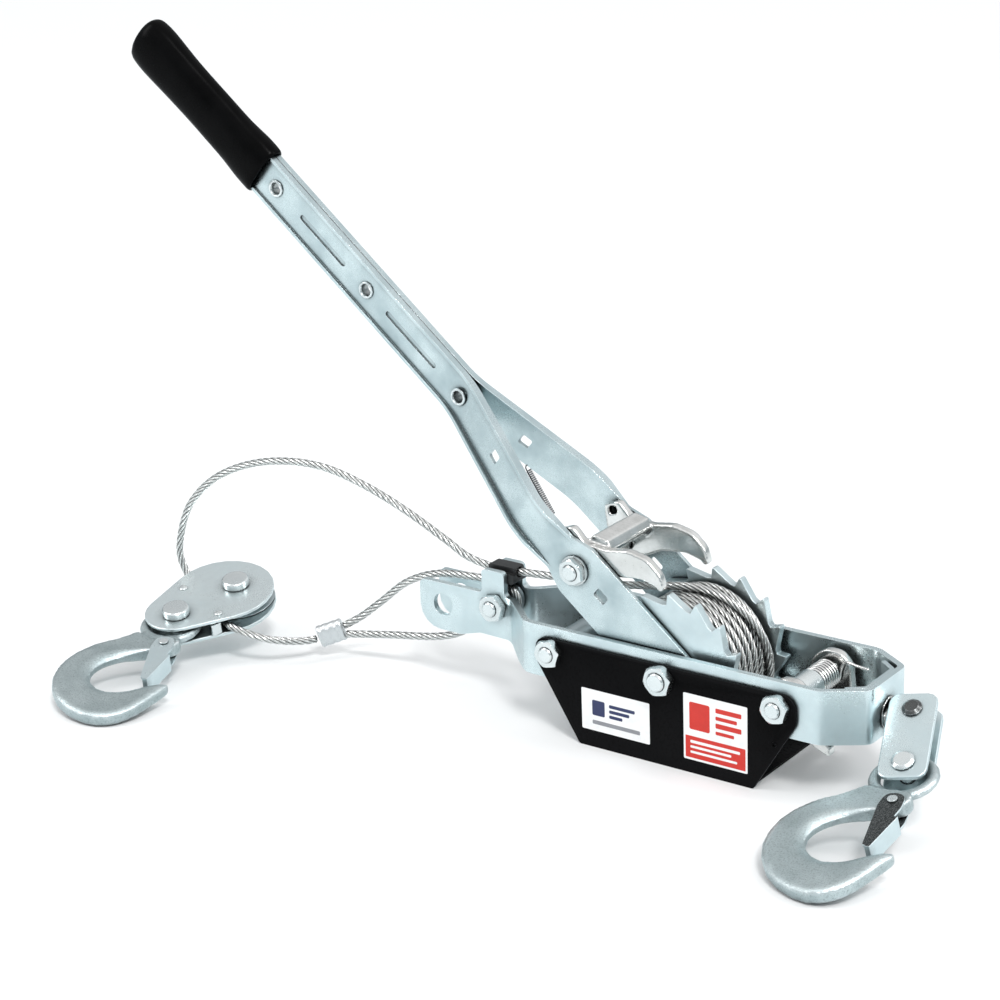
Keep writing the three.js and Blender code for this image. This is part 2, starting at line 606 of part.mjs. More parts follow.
// [x, y] from the point back round the throat to the eye.
const HOOK_INNER = [
  [25.6, -68.6], [19, -69.6], [11, -74.2], [1, -81.5], [-11, -84.4], [-21.5, -80.6],
  [-28.6, -72.5], [-30.4, -63.5], [-27.4, -54.5], [-19.5, -46.4], [-10.5, -40.6], [-2, -36.5],
  [6, -34], [13.5, -28.5], [15.5, -20], [10, -16],
];
// neck: optional round zone thinned to halfT either side, to run between plates.
function hook(neck) {
  const outline = [...smooth(HOOK_OUTER, 22), ...smooth(HOOK_INNER, 22)]
    .map(([x, y]) => [x * HOOK_SCALE, y * HOOK_SCALE]);
  const blade = plateZ(outline, -HOOK_T / 2, HOOK_T / 2);
  const flatten = new THREE.Matrix4().makeScale(1, 1, 0.76);
  const eye = toSolid(new THREE.TorusGeometry(17, 4.2, 6, 18), flatten);
  const whole = cut(union(blade, eye), boreZ(0, 0, 13, 18), boreZ(...LATCH_PIN, 1.9, 8));
  if (!neck) return whole;
  const { x, y, radius, halfT } = neck;
  return cut(whole, rodZ(x, y, radius, halfT, 12, 20), rodZ(x, y, radius, -12, -halfT, 20));
}

// Sheet latch: two cheeks astride the hook and a tongue that closes on the point.
function latch() {
  const cheek = roundedLoop([
    [0.2, -20.8], [12.4, -20.8], [14.2, -33], [11, -68], [6.8, -68.4], [-0.2, -33],
  ], [5.6, 5.6, 8, 1.6, 1.6, 8], 30);
  const outside = LATCH_Y + LATCH_T;
  const tongue = [[11.4, -40.5], [15.8, -40.5], [11.6, -69], [8.4, -69]];
  return cut(union(pairZ(cheek, LATCH_Y, outside), plateZ(tongue, -outside, outside)),
    boreZ(...LATCH_PIN, 2.1, 8));
}

function latchPin() {
  const seat = LATCH_Y + LATCH_T + GAP;
  const end = seat + 0.9;
  return latheZ([
    [0, -end], [3.1, -end], [3.1, -seat], [1.6, -seat],
    [1.6, seat], [3.1, seat], [3.1, end], [0, end],
  ], ...LATCH_PIN, 10);
}

function addHook(prefix, parent, neck) {
  add(prefix + "_hook", hook(neck), "forged", parent);
  add(prefix + "_latch", latch(), "zinc", parent);
  add(prefix + "_latch_pin", latchPin(), "zinc", parent);
}

// ---------------------------------------------------------------- nose swivel, links and hook
// Swivel frame: turned about X through the nose; its local Z is the rivets' direction.
const swivel = group(body, { at: [0, 0, SWIVEL_Z], turn: [27.5, 0, 0] });
const LINK_X = 147.2; // rivet through the swivel eye
const LINK_SPAN = 38.8; // rivet to rivet
const LINK_GAP = 5.9; // |z| of the links' inner faces
const LINK_T = 3;
const LINK_HALF_W = 14.3;
const LINK_END = 11.5; // link beyond each rivet
const LINK_HOLE_R = 4.8;

// Eye bolt: shank along X through the nose, collar and flat eye outside, thin stub inside.
function swivelEye() {
  const collarX = NOSE_X + GAP;
  const collarEnd = collarX + 0.8;
  const shank = rodX(0, 8, 118, 137, 16);
  const collar = rodX(0, 10.5, collarX, collarEnd, 16);
  const stub = rodX(0, 4.5, 103.5, 125.5, 12);
  const eye = plateZ([
    [collarX + 1, -7.5], ...arc(LINK_X, 0, 9, 8, -90, 90), [collarX + 1, 7.5],
  ], -5.4, 5.4);
  const linkRoom = pairZ(rect(collarEnd, 160, -16, 16), LINK_GAP - GAP, 30);
  const trimmed = cut(union(shank, collar, eye), linkRoom);
  return cut(union(trimmed, stub), boreZ(LINK_X, 0, LINK_HOLE_R, 12));
}
add("swivel_eye", swivelEye(), "zinc_dark", swivel);

const swivelNut = cut(rodX(0, 15 / Math.sqrt(3), 111.6, 117.6, 6), rodX(0, 4.9, 94, 134, 12));
add("swivel_nut", swivelNut, "zinc_dark", swivel);

// Link frame: origin at the swivel rivet; local -Y runs to the hook.
const links = group(swivel, { at: [LINK_X, 0, 0], turn: [0, 0, 17.6] });

function linkPlate(z) {
  const corners = rect(-LINK_HALF_W, LINK_HALF_W, -LINK_SPAN - LINK_END, LINK_END);
  return cut(plateZ(roundedLoop(corners, 6.5, 30), z, z + LINK_T, 0.5),
    boreZ(0, 0, LINK_HOLE_R, 12), boreZ(0, -LINK_SPAN, LINK_HOLE_R, 12));
}
function linkRivet(y, radius) {
  const seat = LINK_GAP + LINK_T + GAP;
  const end = seat + 2.2;
  return latheZ([
    [0, -end], [radius - 1.8, -end], [radius, -seat - 0.8], [radius, -seat], [4.4, -seat],
    [4.4, seat], [radius, seat], [radius, seat + 0.8], [radius - 1.8, end], [0, end],
  ], 0, y, 12);
}
add("link_plate_front", linkPlate(LINK_GAP), "zinc", links);
add("link_plate_rear", linkPlate(-LINK_GAP - LINK_T), "zinc", links);
add("swivel_rivet", linkRivet(0, 6), "zinc", links);
add("hook_rivet", linkRivet(-LINK_SPAN, 7), "zinc", links);

// The hook hangs on the lower rivet.
const noseHook = group(links, { at: [0, -LINK_SPAN, 0], turn: [-14.5, 0, 0] });
addHook("nose", group(noseHook, { at: [0, -6.8, 0], turn: [0, 0, -14] }));

// ---------------------------------------------------------------- rope block
// Block frame: origin at the sheave axle, local Z is the axle, local -Y runs to the hook rivet.
const block = group(body, { at: [-345.5, -21.6, -22.3], turn: [9.7, 7.8, -17.3], order: "ZXY" });
const BLOCK_SPAN = 47.4; // sheave rivet to hook rivet
const BLOCK_GAP = 4.3; // |z| of the plates' inner faces
const BLOCK_T = 2.5;
const BLOCK_INSIDE = BLOCK_GAP - GAP; // half height of the pieces between the plates

function blockPlate(z) {
  const pear = [...arc(-2, -9.5, 34.5, 15, -21, 201), ...arc(-2.5, -45, 21.8, 9, 201, 339)];
  return cut(plateZ(pear, z, z + BLOCK_T, 0.5),
    boreZ(0, 0, 5.8, 12), boreZ(0, -BLOCK_SPAN, 5.8, 12));
}
function sheave() {
  const rim = 25;
  const groove = 20.6;
  const half = BLOCK_INSIDE;
  return latheZ([
    [6, -half], [rim, -half], [rim, -half + 0.6], [groove + 0.9, -1.8], [groove, 0],
    [groove + 0.9, 1.8], [rim, half - 0.6], [rim, half], [6, half], [6, -half],
  ], 0, 0, 22);
}
function blockRivet(y) {
  const radius = 9.2;
  const seat = BLOCK_GAP + BLOCK_T + GAP;
  return latheZ([
    [0, -seat - 3], [radius - 2, -seat - 3], [radius, -seat - 1.6], [radius, -seat],
    [5.4, -seat], [5.4, seat], [radius, seat], [radius, seat + 4], [radius - 1.1, seat + 5],
    [0, seat + 5.3],
  ], 0, y, 18);
}
const blockSpacer = (x) => plateZ(
  roundedLoop(rect(x - 1.6, x + 1.6, -37.4, -29.9), 1, 60), -BLOCK_INSIDE, BLOCK_INSIDE);

add("block_plate_top", blockPlate(BLOCK_GAP), "zinc", block);
add("block_plate_bottom", blockPlate(-BLOCK_GAP - BLOCK_T), "zinc", block);
add("sheave", sheave(), "zinc_dark", block);
add("sheave_rivet", blockRivet(0), "zinc", block);
add("block_hook_rivet", blockRivet(-BLOCK_SPAN), "zinc", block);
add("block_spacer_left", blockSpacer(-26), "zinc", block);
add("block_spacer_right", blockSpacer(25), "zinc", block);

// The hook is set off from its rivet; the thinned neck is centred on the rivet.
const RIVET_IN_HOOK = { x: 2.5, y: 5.6 };
const blockHook = group(block, { at: [0, -BLOCK_SPAN, 0], turn: [-2.3, 0, 35.4] });
addHook("block", group(blockHook, { at: [-RIVET_IN_HOOK.x, -RIVET_IN_HOOK.y, 0] }),
  { ...RIVET_IN_HOOK, radius: 28.4, halfT: BLOCK_INSIDE - 1.1 });

// ---------------------------------------------------------------- rope
winch.updateMatrixWorld(true);
// A point of the block's mid plane, in the body's frame.
const onBlock = (x, y) =>
  body.worldToLocal(block.localToWorld(new THREE.Vector3(x, y, 0))).toArray();

// [x, y, z] from the drum through the guide, over to the block, round its sheave, to the ferrule.
const ROPE_PATH = [
  [-25.5, 0, 37.7], [-60, 0, 34.7], [-110, 0, 30.6], [-128, 0, 29.1], [-140, 0, GUIDE_Z],
  [-152, 0, 28.6], [-168, -1, 32], [-183.2, -2.5, 40.5], [-213.1, -5, 55.9],
  [-243.4, -7.5, 68.1], [-274.5, -10, 75.6], [-307.6, -12.5, 74.7], [-339.4, -15, 66.4],
  [-365.9, -17, 51.9], [-384.6, -19, 32.3], [-392.5, -20.5, 13], [-394.6, -21.5, -5],
  onBlock(-41.5, -12.2), onBlock(-29, -18.8), onBlock(-16, -23.3), onBlock(0, -24.4),
  onBlock(16, -24.6), onBlock(32, -25),
  [-301.1, -48, -36], [-291.5, -38, -39.4], [-285, -28, -41.6], [-280.7, -20, -42.2],
];
add("rope_line", bar(ROPE_PATH, ROPE_R, 66), "rope");

// Pressed ferrule: oval section across the two rope legs.
function ferrule() {
  const start = new THREE.Vector3(-279.5, -17.5, -41.2);
  const end = new THREE.Vector3(-266.5, -8.5, -35.8);
  const along = end.clone().sub(start);
  const half = along.length() / 2;
  along.normalize();
  const across = new THREE.Vector3(0, 0, 1).cross(along).normalize();
  const up = along.clone().cross(across).normalize();
  const place = new THREE.Matrix4().makeBasis(along, across, up)
    .setPosition(start.add(end).multiplyScalar(0.5));
  const sleeve = plateY(stadium(-3, 3, 4.6, 6), -half, half);
  return sleeve.transform(chain(place, turnX(90), turnZ(90)).elements);
}
add("ferrule", ferrule(), "ferrule");

// Rope eye legs, [x, y, z]: upper leg from the ferrule, lower leg back to it.
const EYE_UPPER = [
  [-265.2, -8.8, -33.2], [-255, -4.6, -26.6], [-239, -2, -13.4], [-218.2, 0, 4],
  [-194.4, 0, 14.6], [-167.4, 0, 18.4], [-151, 0, 19],
];
const EYE_LOWER = [
  [-152, 0, -6.5], [-166, 0, -15.5], [-180.6, 0, -24], [-195.8, -1, -28.8],
  [-227.8, -4, -33.6], [-247, -6.4, -36.4], [-262.6, -9.6, -38.4],
];
// Eye round the anchor thimble.
function ropeEye() {
  const turn = Array.from({ length: 7 }, (_, k) => {
    const [x, z] = polar(THIMBLE_R + 0.5 + ROPE_R, 80 - k * 28);
    return [ANCHOR_X + x, 0, ANCHOR_Z + z];
  });
  return bar([...EYE_UPPER, ...turn, ...EYE_LOWER], ROPE_R, 40);
}
add("rope_eye", ropeEye(), "rope");

export default winch;
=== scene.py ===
"""Hand-lever rope puller with a hook, ratchet drum, wire rope and pulley block.

The drum's axle lies along Y, AXLE_Z above the floor. The nose hook points to +X, the block lies
towards -X, and the lever rises towards -X. The guard's labelled front face looks towards -Y.
Tables are in millimetres, most of them measured from the axle; Blender gets metres.
"""

import math

import bmesh
import bpy
import numpy as np
from mathutils import Matrix, Vector

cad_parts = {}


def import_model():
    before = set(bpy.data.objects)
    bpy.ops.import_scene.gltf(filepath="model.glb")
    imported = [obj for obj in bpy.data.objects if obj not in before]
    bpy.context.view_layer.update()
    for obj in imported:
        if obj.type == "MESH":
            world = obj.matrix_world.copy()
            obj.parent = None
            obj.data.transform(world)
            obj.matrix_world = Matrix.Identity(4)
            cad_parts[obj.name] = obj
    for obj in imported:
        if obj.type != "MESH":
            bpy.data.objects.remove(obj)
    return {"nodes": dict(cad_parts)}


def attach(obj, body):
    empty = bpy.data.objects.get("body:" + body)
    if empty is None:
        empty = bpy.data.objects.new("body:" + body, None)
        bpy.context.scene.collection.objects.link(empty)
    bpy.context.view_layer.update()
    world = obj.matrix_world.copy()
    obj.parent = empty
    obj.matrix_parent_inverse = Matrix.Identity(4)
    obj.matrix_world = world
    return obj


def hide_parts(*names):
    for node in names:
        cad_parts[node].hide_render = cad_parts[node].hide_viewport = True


MM = 0.001
AXLE_Z = 56.0
TURN = 2 * math.pi

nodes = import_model()["nodes"]
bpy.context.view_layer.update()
scene = bpy.context.scene


# ------------------------------------------------------------------ shader helpers
class Shader:
    """Adds and links nodes. Any value may be a number, a colour or another node's output."""

    def __init__(self, owner):
        owner.use_nodes = True
        self.tree = owner.node_tree
        self.tree.nodes.clear()

    def feed(self, socket, value):
        if isinstance(value, bpy.types.NodeSocket):
            self.tree.links.new(value, socket)
        elif socket.type == "RGBA":
            socket.default_value = (*value, 1.0)
        else:
            socket.default_value = value

    def node(self, kind, **inputs):
        node = self.tree.nodes.new("ShaderNode" + kind)
        for name, value in inputs.items():
            self.feed(node.inputs[name.replace("_", " ")], value)
        return node

    def span(self, value, between=(0.3, 0.7), to=(0, 1)):
        """Maps one range onto another, clamped."""
        node = self.node("MapRange")
        node.clamp = True
        for i, limit in enumerate((*between, *to)):
            node.inputs[i + 1].default_value = limit
        self.feed(node.inputs[0], value)
        return node.outputs[0]

    def math(self, operation, first, second=0.0):
        node = self.node("Math")
        node.operation = operation
        self.feed(node.inputs[0], first)
        self.feed(node.inputs[1], second)
        return node.outputs[0]

    def dot(self, first, second):
        node = self.node("VectorMath")
        node.operation = "DOT_PRODUCT"
        self.feed(node.inputs[0], first)
        self.feed(node.inputs[1], second)
        return node.outputs["Value"]


class Material(Shader):
    """A principled material textured in object space."""

    def __init__(self, name):
        self.material = bpy.data.materials.new(name)
        super().__init__(self.material)
        output = self.node("OutputMaterial")
        self.principled = self.node("BsdfPrincipled")
        self.feed(output.inputs[0], self.principled.outputs[0])
        self.coords = self.node("TexCoord").outputs["Object"]

    def scaled(self, coords, scale):
        return self.node("Mapping", Scale=scale, Vector=coords).outputs[0]

    def noise(self, scale, detail=3.0, rough=0.5, coords=None):
        node = self.node("TexNoise", Scale=scale, Detail=detail, Roughness=rough,
                         Vector=coords or self.coords)
        return node.outputs["Fac"]

    def voronoi(self, scale):
        return self.node("TexVoronoi", Scale=scale, Vector=self.coords).outputs["Distance"]

    def mix(self, factor, first, second, mode="MIX"):
        node = self.node("Mix")
        node.data_type = "RGBA"
        node.blend_type = mode
        for i, value in ((0, factor), (6, first), (7, second)):
            self.feed(node.inputs[i], value)
        return node.outputs[2]

    def blend(self, value, first, second, between=(0.3, 0.7), amount=1):
        """Goes from first towards second as value crosses a range."""
        return self.mix(self.span(value, between, to=(0, amount)), first, second)

    def pointiness(self):
        return self.node("NewGeometry").outputs["Pointiness"]

    def rim(self):
        """Zero on flats, rising to one at edges, whatever the density of the mesh."""
        bevel = self.node("Bevel", Radius=0.0006)
        bevel.samples = 4
        geometry = self.node("NewGeometry")
        alignment = self.dot(bevel.outputs[0], geometry.outputs["True Normal"])
        return self.span(alignment, between=(0.985, 0.8))

    def shade_corners(self, tone, reach, darkest, start=0.25):
        """Darkens a colour where surfaces close in on each other."""
        occlusion = self.node("AmbientOcclusion", Distance=reach)
        occlusion.samples = 6
        light = self.span(occlusion.outputs["AO"], between=(start, 0.95), to=(darkest, 1.0))
        grey = self.node("CombineColor")
        for socket in list(grey.inputs)[:3]:
            self.feed(socket, light)
        return self.mix(1.0, tone, grey.outputs[0], mode="MULTIPLY")

    def bump(self, height, strength, distance, before=None):
        node = self.node("Bump", Strength=strength, Distance=distance, Height=height)
        if before is not None:
            self.feed(node.inputs["Normal"], before)
        return node.outputs[0]

    def finish(self, **inputs):
        for name, value in inputs.items():
            self.feed(self.principled.inputs[name.replace("_", " ")], value)
        return self.material


# ------------------------------------------------------------------ materials
def zinc(name, light, shade, rough=(0.24, 0.4), grain=0.18, streak=0.1, spangle=0.35,
         corner_reach=0.007, corner_dark=0.3, corner_start=0.25, dark_reflection_normal=None):
    """Bright zinc plating: cloudy tint, rolled grain and soft spangle, with a painted highlight on
    edges and painted shade in corners.

    The last argument is the normal of a flat face whose plating gets a painted dark reflection, on
    both sides.
    """
    mat = Material(name)
    cloud = mat.noise(scale=38)
    flake = mat.voronoi(scale=260)
    rolled = mat.noise(scale=1, detail=4, rough=0.6,
                       coords=mat.scaled(mat.coords, (60, 60, 1500)))
    fine = mat.noise(scale=1500, detail=2)
    tone = mat.blend(cloud, light, shade, between=(0.35, 0.68))
    tone = mat.blend(flake, tone, tuple(c * 0.86 for c in light),
                     between=(0.1, 0.9), amount=spangle)
    # Painted highlight: sharp edges blend towards near-white.
    tone = mat.mix(mat.math("MULTIPLY", mat.rim(), 0.75), tone, (0.95, 0.98, 0.99))
    roughness = mat.math("ADD", mat.span(cloud, to=rough), mat.span(fine, to=(-0.05, 0.07)))
    normal = mat.bump(rolled, strength=streak, distance=0.0002)
    normal = mat.bump(fine, strength=grain, distance=0.0003, before=normal)
    tone = mat.shade_corners(tone, corner_reach, corner_dark, corner_start)
    # Painted dark reflection on the faces square to the given normal.
    if dark_reflection_normal:
        facing = mat.dot(mat.node("TexCoord").outputs["Normal"], dark_reflection_normal)
        face = mat.span(mat.math("ABSOLUTE", facing), between=(0.9, 0.97))
        dark = mat.blend(mat.noise(scale=1400, detail=2), (0.05, 0.055, 0.055),
                         (0.17, 0.18, 0.18), between=(0.45, 0.6))
        tone = mat.mix(face, tone, dark)
    return mat.finish(Base_Color=tone, Metallic=1.0, Roughness=roughness, Normal=normal)


def forging():
    """Zinc over a hammered forging: grainy, slightly pitted."""
    mat = Material("forging_zinc")
    cloud = mat.noise(scale=45, detail=4, rough=0.6)
    grit = mat.noise(scale=900, detail=4, rough=0.7)
    pits = mat.voronoi(scale=750)
    tone = mat.blend(cloud, (0.6, 0.68, 0.69), (0.42, 0.49, 0.5), between=(0.32, 0.68))
    tone = mat.blend(grit, tone, (0.24, 0.29, 0.3), between=(0.5, 0.68), amount=0.65)
    # Painted highlight on convex edges.
    tone = mat.blend(mat.pointiness(), tone, (0.92, 0.96, 0.97),
                     between=(0.505, 0.55), amount=0.7)
    tone = mat.shade_corners(tone, reach=0.006, darkest=0.4)
    roughness = mat.math("ADD", mat.span(cloud, to=(0.3, 0.42)), mat.span(grit, to=(-0.06, 0.1)))
    normal = mat.bump(mat.noise(scale=26, detail=2), strength=0.5, distance=0.004)
    normal = mat.bump(pits, strength=0.25, distance=0.0004, before=normal)
    normal = mat.bump(grit, strength=0.5, distance=0.0006, before=normal)
    return mat.finish(Base_Color=tone, Metallic=1.0, Roughness=roughness, Normal=normal)


def casting():
    """Polished cast steel: neutral warm grey, tumbled smooth with faint grain."""
    mat = Material("casting_polished")
    cloud = mat.noise(scale=60, detail=4, rough=0.6)
    grit = mat.noise(scale=700, rough=0.6)
    tone = mat.blend(cloud, (0.86, 0.86, 0.845), (0.68, 0.68, 0.66))
    tone = mat.blend(grit, tone, (0.46, 0.46, 0.45), between=(0.58, 0.75), amount=0.3)
    # Painted highlight on convex edges.
    tone = mat.blend(mat.pointiness(), tone, (0.92, 0.92, 0.9), between=(0.51, 0.58), amount=0.6)
    tone = mat.shade_corners(tone, reach=0.009, darkest=0.3)
    roughness = mat.math("ADD", mat.span(cloud, to=(0.16, 0.26)),
                         mat.span(grit, to=(-0.03, 0.05)))
    normal = mat.bump(cloud, strength=0.14, distance=0.0012)
    normal = mat.bump(grit, strength=0.1, distance=0.0004, before=normal)
    return mat.finish(Base_Color=tone, Metallic=1.0, Roughness=roughness, Normal=normal)


def guard_paint():
    """Black satin powder coat with fine orange peel, and a painted highlight on its edges."""
    mat = Material("guard_paint")
    peel = mat.noise(scale=520, detail=2)
    tone = mat.blend(mat.noise(scale=30), (0.0012, 0.0012, 0.0014), (0.0024, 0.0024, 0.0027))
    # Painted highlight: edges lightened.
    tone = mat.blend(mat.pointiness(), tone, (0.06, 0.06, 0.063), between=(0.53, 0.6), amount=0.3)
    return mat.finish(Base_Color=tone, Metallic=0.0, Roughness=mat.span(peel, to=(0.24, 0.36)),
                      Normal=mat.bump(peel, strength=0.1, distance=0.0003),
                      Specular_IOR_Level=0.02)


def vinyl():
    """Dipped black vinyl: glossy, with slow waves and fine pores."""
    mat = Material("grip_vinyl")
    wave = mat.noise(scale=70)
    pore = mat.noise(scale=1300, detail=2)
    tone = mat.blend(wave, (0.0014, 0.0014, 0.0015), (0.0024, 0.0024, 0.0026))
    roughness = mat.math("ADD", mat.span(wave, to=(0.2, 0.3)),
                         mat.span(pore, between=(0.4, 0.7), to=(0, 0.06)))
    normal = mat.bump(wave, strength=0.12, distance=0.002)
    normal = mat.bump(pore, strength=0.1, distance=0.0002, before=normal)
    return mat.finish(Base_Color=tone, Roughness=roughness, Normal=normal,
                      Specular_IOR_Level=0.04)


def rope_steel():
    """Bright galvanised wires, with painted shade in the valleys between strands."""
    mat = Material("rope_steel")
    attribute = mat.node("Attribute")
    attribute.attribute_name = "groove"
    groove = attribute.outputs["Fac"]
    wire_coords = mat.scaled(mat.node("UVMap").outputs[0], (1.05, 5.0, 1.0))
    wires = mat.node("TexWave", Scale=1.0, Distortion=0.0, Vector=wire_coords)
    wires.bands_direction = "X"
    tone = mat.blend(mat.noise(scale=120, rough=0.6), (0.86, 0.86, 0.84), (0.66, 0.665, 0.65))
    # Painted shade: the valleys between strands go nearly black.
    tone = mat.blend(groove, tone, (0.05, 0.05, 0.05), between=(0.25, 0.95), amount=0.93)
    tone = mat.shade_corners(tone, reach=0.006, darkest=0.3)
    return mat.finish(Base_Color=tone, Metallic=1.0,
                      Roughness=mat.span(groove, between=(0, 1), to=(0.24, 0.55)),
                      Normal=mat.bump(wires.outputs["Fac"], strength=0.35, distance=0.0002))


def spring_steel():
    mat = Material("spring_steel")
    cloud = mat.noise(scale=300, rough=0.6)
    # Dark tones: painted shade for a spring that sits in shade inside the lever's arm.
    tone = mat.blend(cloud, (0.2, 0.205, 0.21), (0.11, 0.115, 0.12))
    return mat.finish(Base_Color=tone, Metallic=1.0, Roughness=mat.span(cloud, to=(0.26, 0.4)))


def spring_bright():
    mat = Material("spring_bright")
    cloud = mat.noise(scale=260, rough=0.6)
    tone = mat.blend(cloud, (0.93, 0.93, 0.92), (0.74, 0.74, 0.73))
    tone = mat.shade_corners(tone, reach=0.0018, darkest=0.06, start=0.35)
    return mat.finish(Base_Color=tone, Metallic=1.0, Roughness=mat.span(cloud, to=(0.14, 0.24)))


def plastic(name, base, rough):
    mat = Material(name)
    grit = mat.noise(scale=1100, detail=2)
    tone = mat.blend(mat.noise(scale=80), base, tuple(c * 0.7 for c in base))
    return mat.finish(Base_Color=tone,
                      Roughness=mat.span(grit, to=(rough - 0.05, rough + 0.06)),
                      Normal=mat.bump(grit, strength=0.12, distance=0.0002))


def label_film(name, base):
    """Printed vinyl label stock: satin film with very faint mottling."""
    mat = Material(name)
    mottle = mat.noise(scale=220, rough=0.6)
    tone = mat.blend(mottle, base, tuple(c * 0.92 for c in base), between=(0.35, 0.65))
    normal = mat.bump(mat.noise(scale=900, detail=2), strength=0.05, distance=0.0002)
    return mat.finish(Base_Color=tone, Roughness=mat.span(mottle, to=(0.28, 0.36)), Normal=normal)


WHEEL_FINISH = dict(light=(0.76, 0.86, 0.88), shade=(0.64, 0.745, 0.77), rough=(0.26, 0.42),
                    grain=0.22, streak=0.06)

ZINC = zinc("zinc_plate", light=(0.76, 0.865, 0.885), shade=(0.63, 0.745, 0.77))
ZINC_LEVER = zinc("zinc_lever", light=(0.68, 0.78, 0.8), shade=(0.46, 0.56, 0.585),
                  rough=(0.2, 0.36), corner_reach=0.006, corner_dark=0.2, corner_start=0.5)
# A lighter copy of the zinc for the flat-lying block plates: painted light standing in for a
# brighter sky reflection.
ZINC_BLOCK = zinc("zinc_block", light=(0.84, 0.92, 0.93), shade=(0.74, 0.83, 0.845),
                  rough=(0.26, 0.4))
ZINC_BOLT = zinc("zinc_fastener", light=(0.86, 0.9, 0.9), shade=(0.72, 0.78, 0.79),
                 rough=(0.16, 0.3), grain=0.12, streak=0.02, spangle=0.2)
# A darker copy of the zinc for parts set inside the frame and the block: painted shade.
ZINC_INNER = zinc("zinc_inner", light=(0.5, 0.57, 0.59), shade=(0.36, 0.42, 0.44),
                  rough=(0.3, 0.45))
ZINC_WHEEL = zinc("zinc_wheel", **WHEEL_FINISH)
FORGING = forging()
CASTING = casting()
GUARD = guard_paint()
VINYL = vinyl()
ROPE = rope_steel()
SPRING_SHADED = spring_steel()
SPRING_BRIGHT = spring_bright()
INSERT = plastic("insert_plastic", (0.02, 0.02, 0.021), rough=0.42)
LABEL_WHITE = label_film("label_white", (0.86, 0.87, 0.87))
LABEL_RED = label_film("label_red", (0.6, 0.022, 0.012))
LABEL_BLUE = label_film("label_blue", (0.02, 0.03, 0.1))
LABEL_GREY = label_film("label_grey", (0.25, 0.26, 0.28))
# Wheel zinc with a painted dark reflection on the nose latch's cheeks.
ZINC_LATCH = zinc("zinc_latch_dark_reflection", **WHEEL_FINISH, dark_reflection_normal=(-0.0757, -0.2354, 0.969))
ZINC_DARK = zinc("zinc_latch", light=(0.13, 0.135, 0.135), shade=(0.05, 0.055, 0.055),
                 rough=(0.22, 0.36), grain=0.2, streak=0.05)
FERRULE = zinc("ferrule_alloy", light=(0.84, 0.86, 0.86), shade=(0.7, 0.72, 0.73),
               rough=(0.26, 0.42), grain=0.4, streak=0.0)


# ------------------------------------------------------------------ pieces from meshes
def add_piece(name, mesh, materials, body, replaces=None, smooth=True):
    """Adds an object. A list of materials keeps the mesh's own material indices."""
    piece = bpy.data.objects.new(name, mesh)
    scene.collection.objects.link(piece)
    indices = np.zeros(len(mesh.polygons), np.int32)
    if isinstance(materials, list):
        mesh.polygons.foreach_get("material_index", indices)
    else:
        materials = [materials]
    mesh.materials.clear()
    for material in materials:
        mesh.materials.append(material)
    mesh.polygons.foreach_set("material_index", indices)
    if smooth:
        mesh.polygons.foreach_set("use_smooth", np.ones(len(mesh.polygons), bool))
    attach(piece, body)
    if replaces:
        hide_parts(replaces)


def drop_normals(mesh):
    for name in ("custom_normal", "sharp_face", "sharp_edge"):
        if name in mesh.attributes:
            mesh.attributes.remove(mesh.attributes[name])


def add_weld(piece):
    piece.modifiers.new("weld", "WELD").merge_threshold = 4e-6


def dress(material, *names, width, segments=2, angle=30):
    """Keeps CAD nodes: merged corners, edges rounded by width, even shading and a finish."""
    for name in names:
        piece = nodes[name]
        mesh = piece.data
        drop_normals(mesh)
        mesh.materials.clear()
        mesh.materials.append(material)
        mesh.polygons.foreach_set("material_index", np.zeros(len(mesh.polygons), np.int32))
        mesh.polygons.foreach_set("use_smooth", np.ones(len(mesh.polygons), bool))
        add_weld(piece)
        flat = piece.modifiers.new("flat", "DECIMATE")
        flat.decimate_type = "DISSOLVE"
        flat.angle_limit = math.radians(0.5)
        edge = piece.modifiers.new("edge", "BEVEL")
        edge.width = width * MM
        edge.segments = segments
        edge.limit_method = "ANGLE"
        edge.angle_limit = math.radians(angle)
        edge.use_clamp_overlap = True
        edge.harden_normals = False
        shade = piece.modifiers.new("shade", "WEIGHTED_NORMAL")
        shade.weight = 50
        shade.keep_sharp = False


def add_rounded(source, name, material, body, voxel, rounds, factor=0.5, hook_frame=None):
    """A rounded copy of a CAD node for cast and forged parts: voxel skin, then relaxed."""
    mesh = nodes[source].data.copy()
    drop_normals(mesh)
    draft = bpy.data.objects.new("tmp_" + source, mesh)
    scene.collection.objects.link(draft)
    add_weld(draft)
    skin = draft.modifiers.new("skin", "REMESH")
    skin.mode = "VOXEL"
    skin.voxel_size = voxel * MM
    relax = draft.modifiers.new("relax", "SMOOTH")
    relax.factor = factor
    relax.iterations = rounds
    bpy.context.view_layer.update()
    evaluated = draft.evaluated_get(bpy.context.evaluated_depsgraph_get())
    rounded = bpy.data.meshes.new_from_object(evaluated)
    bpy.data.objects.remove(draft)
    if hook_frame is not None:
        shape_hook(rounded, hook_frame)
    add_piece(name, rounded, material, body, source)


# ------------------------------------------------------------------ curves and meshes
def world(points):
    """About-axle millimetres to world millimetres."""
    return np.asarray(points, float) + np.array([0, 0, AXLE_Z])


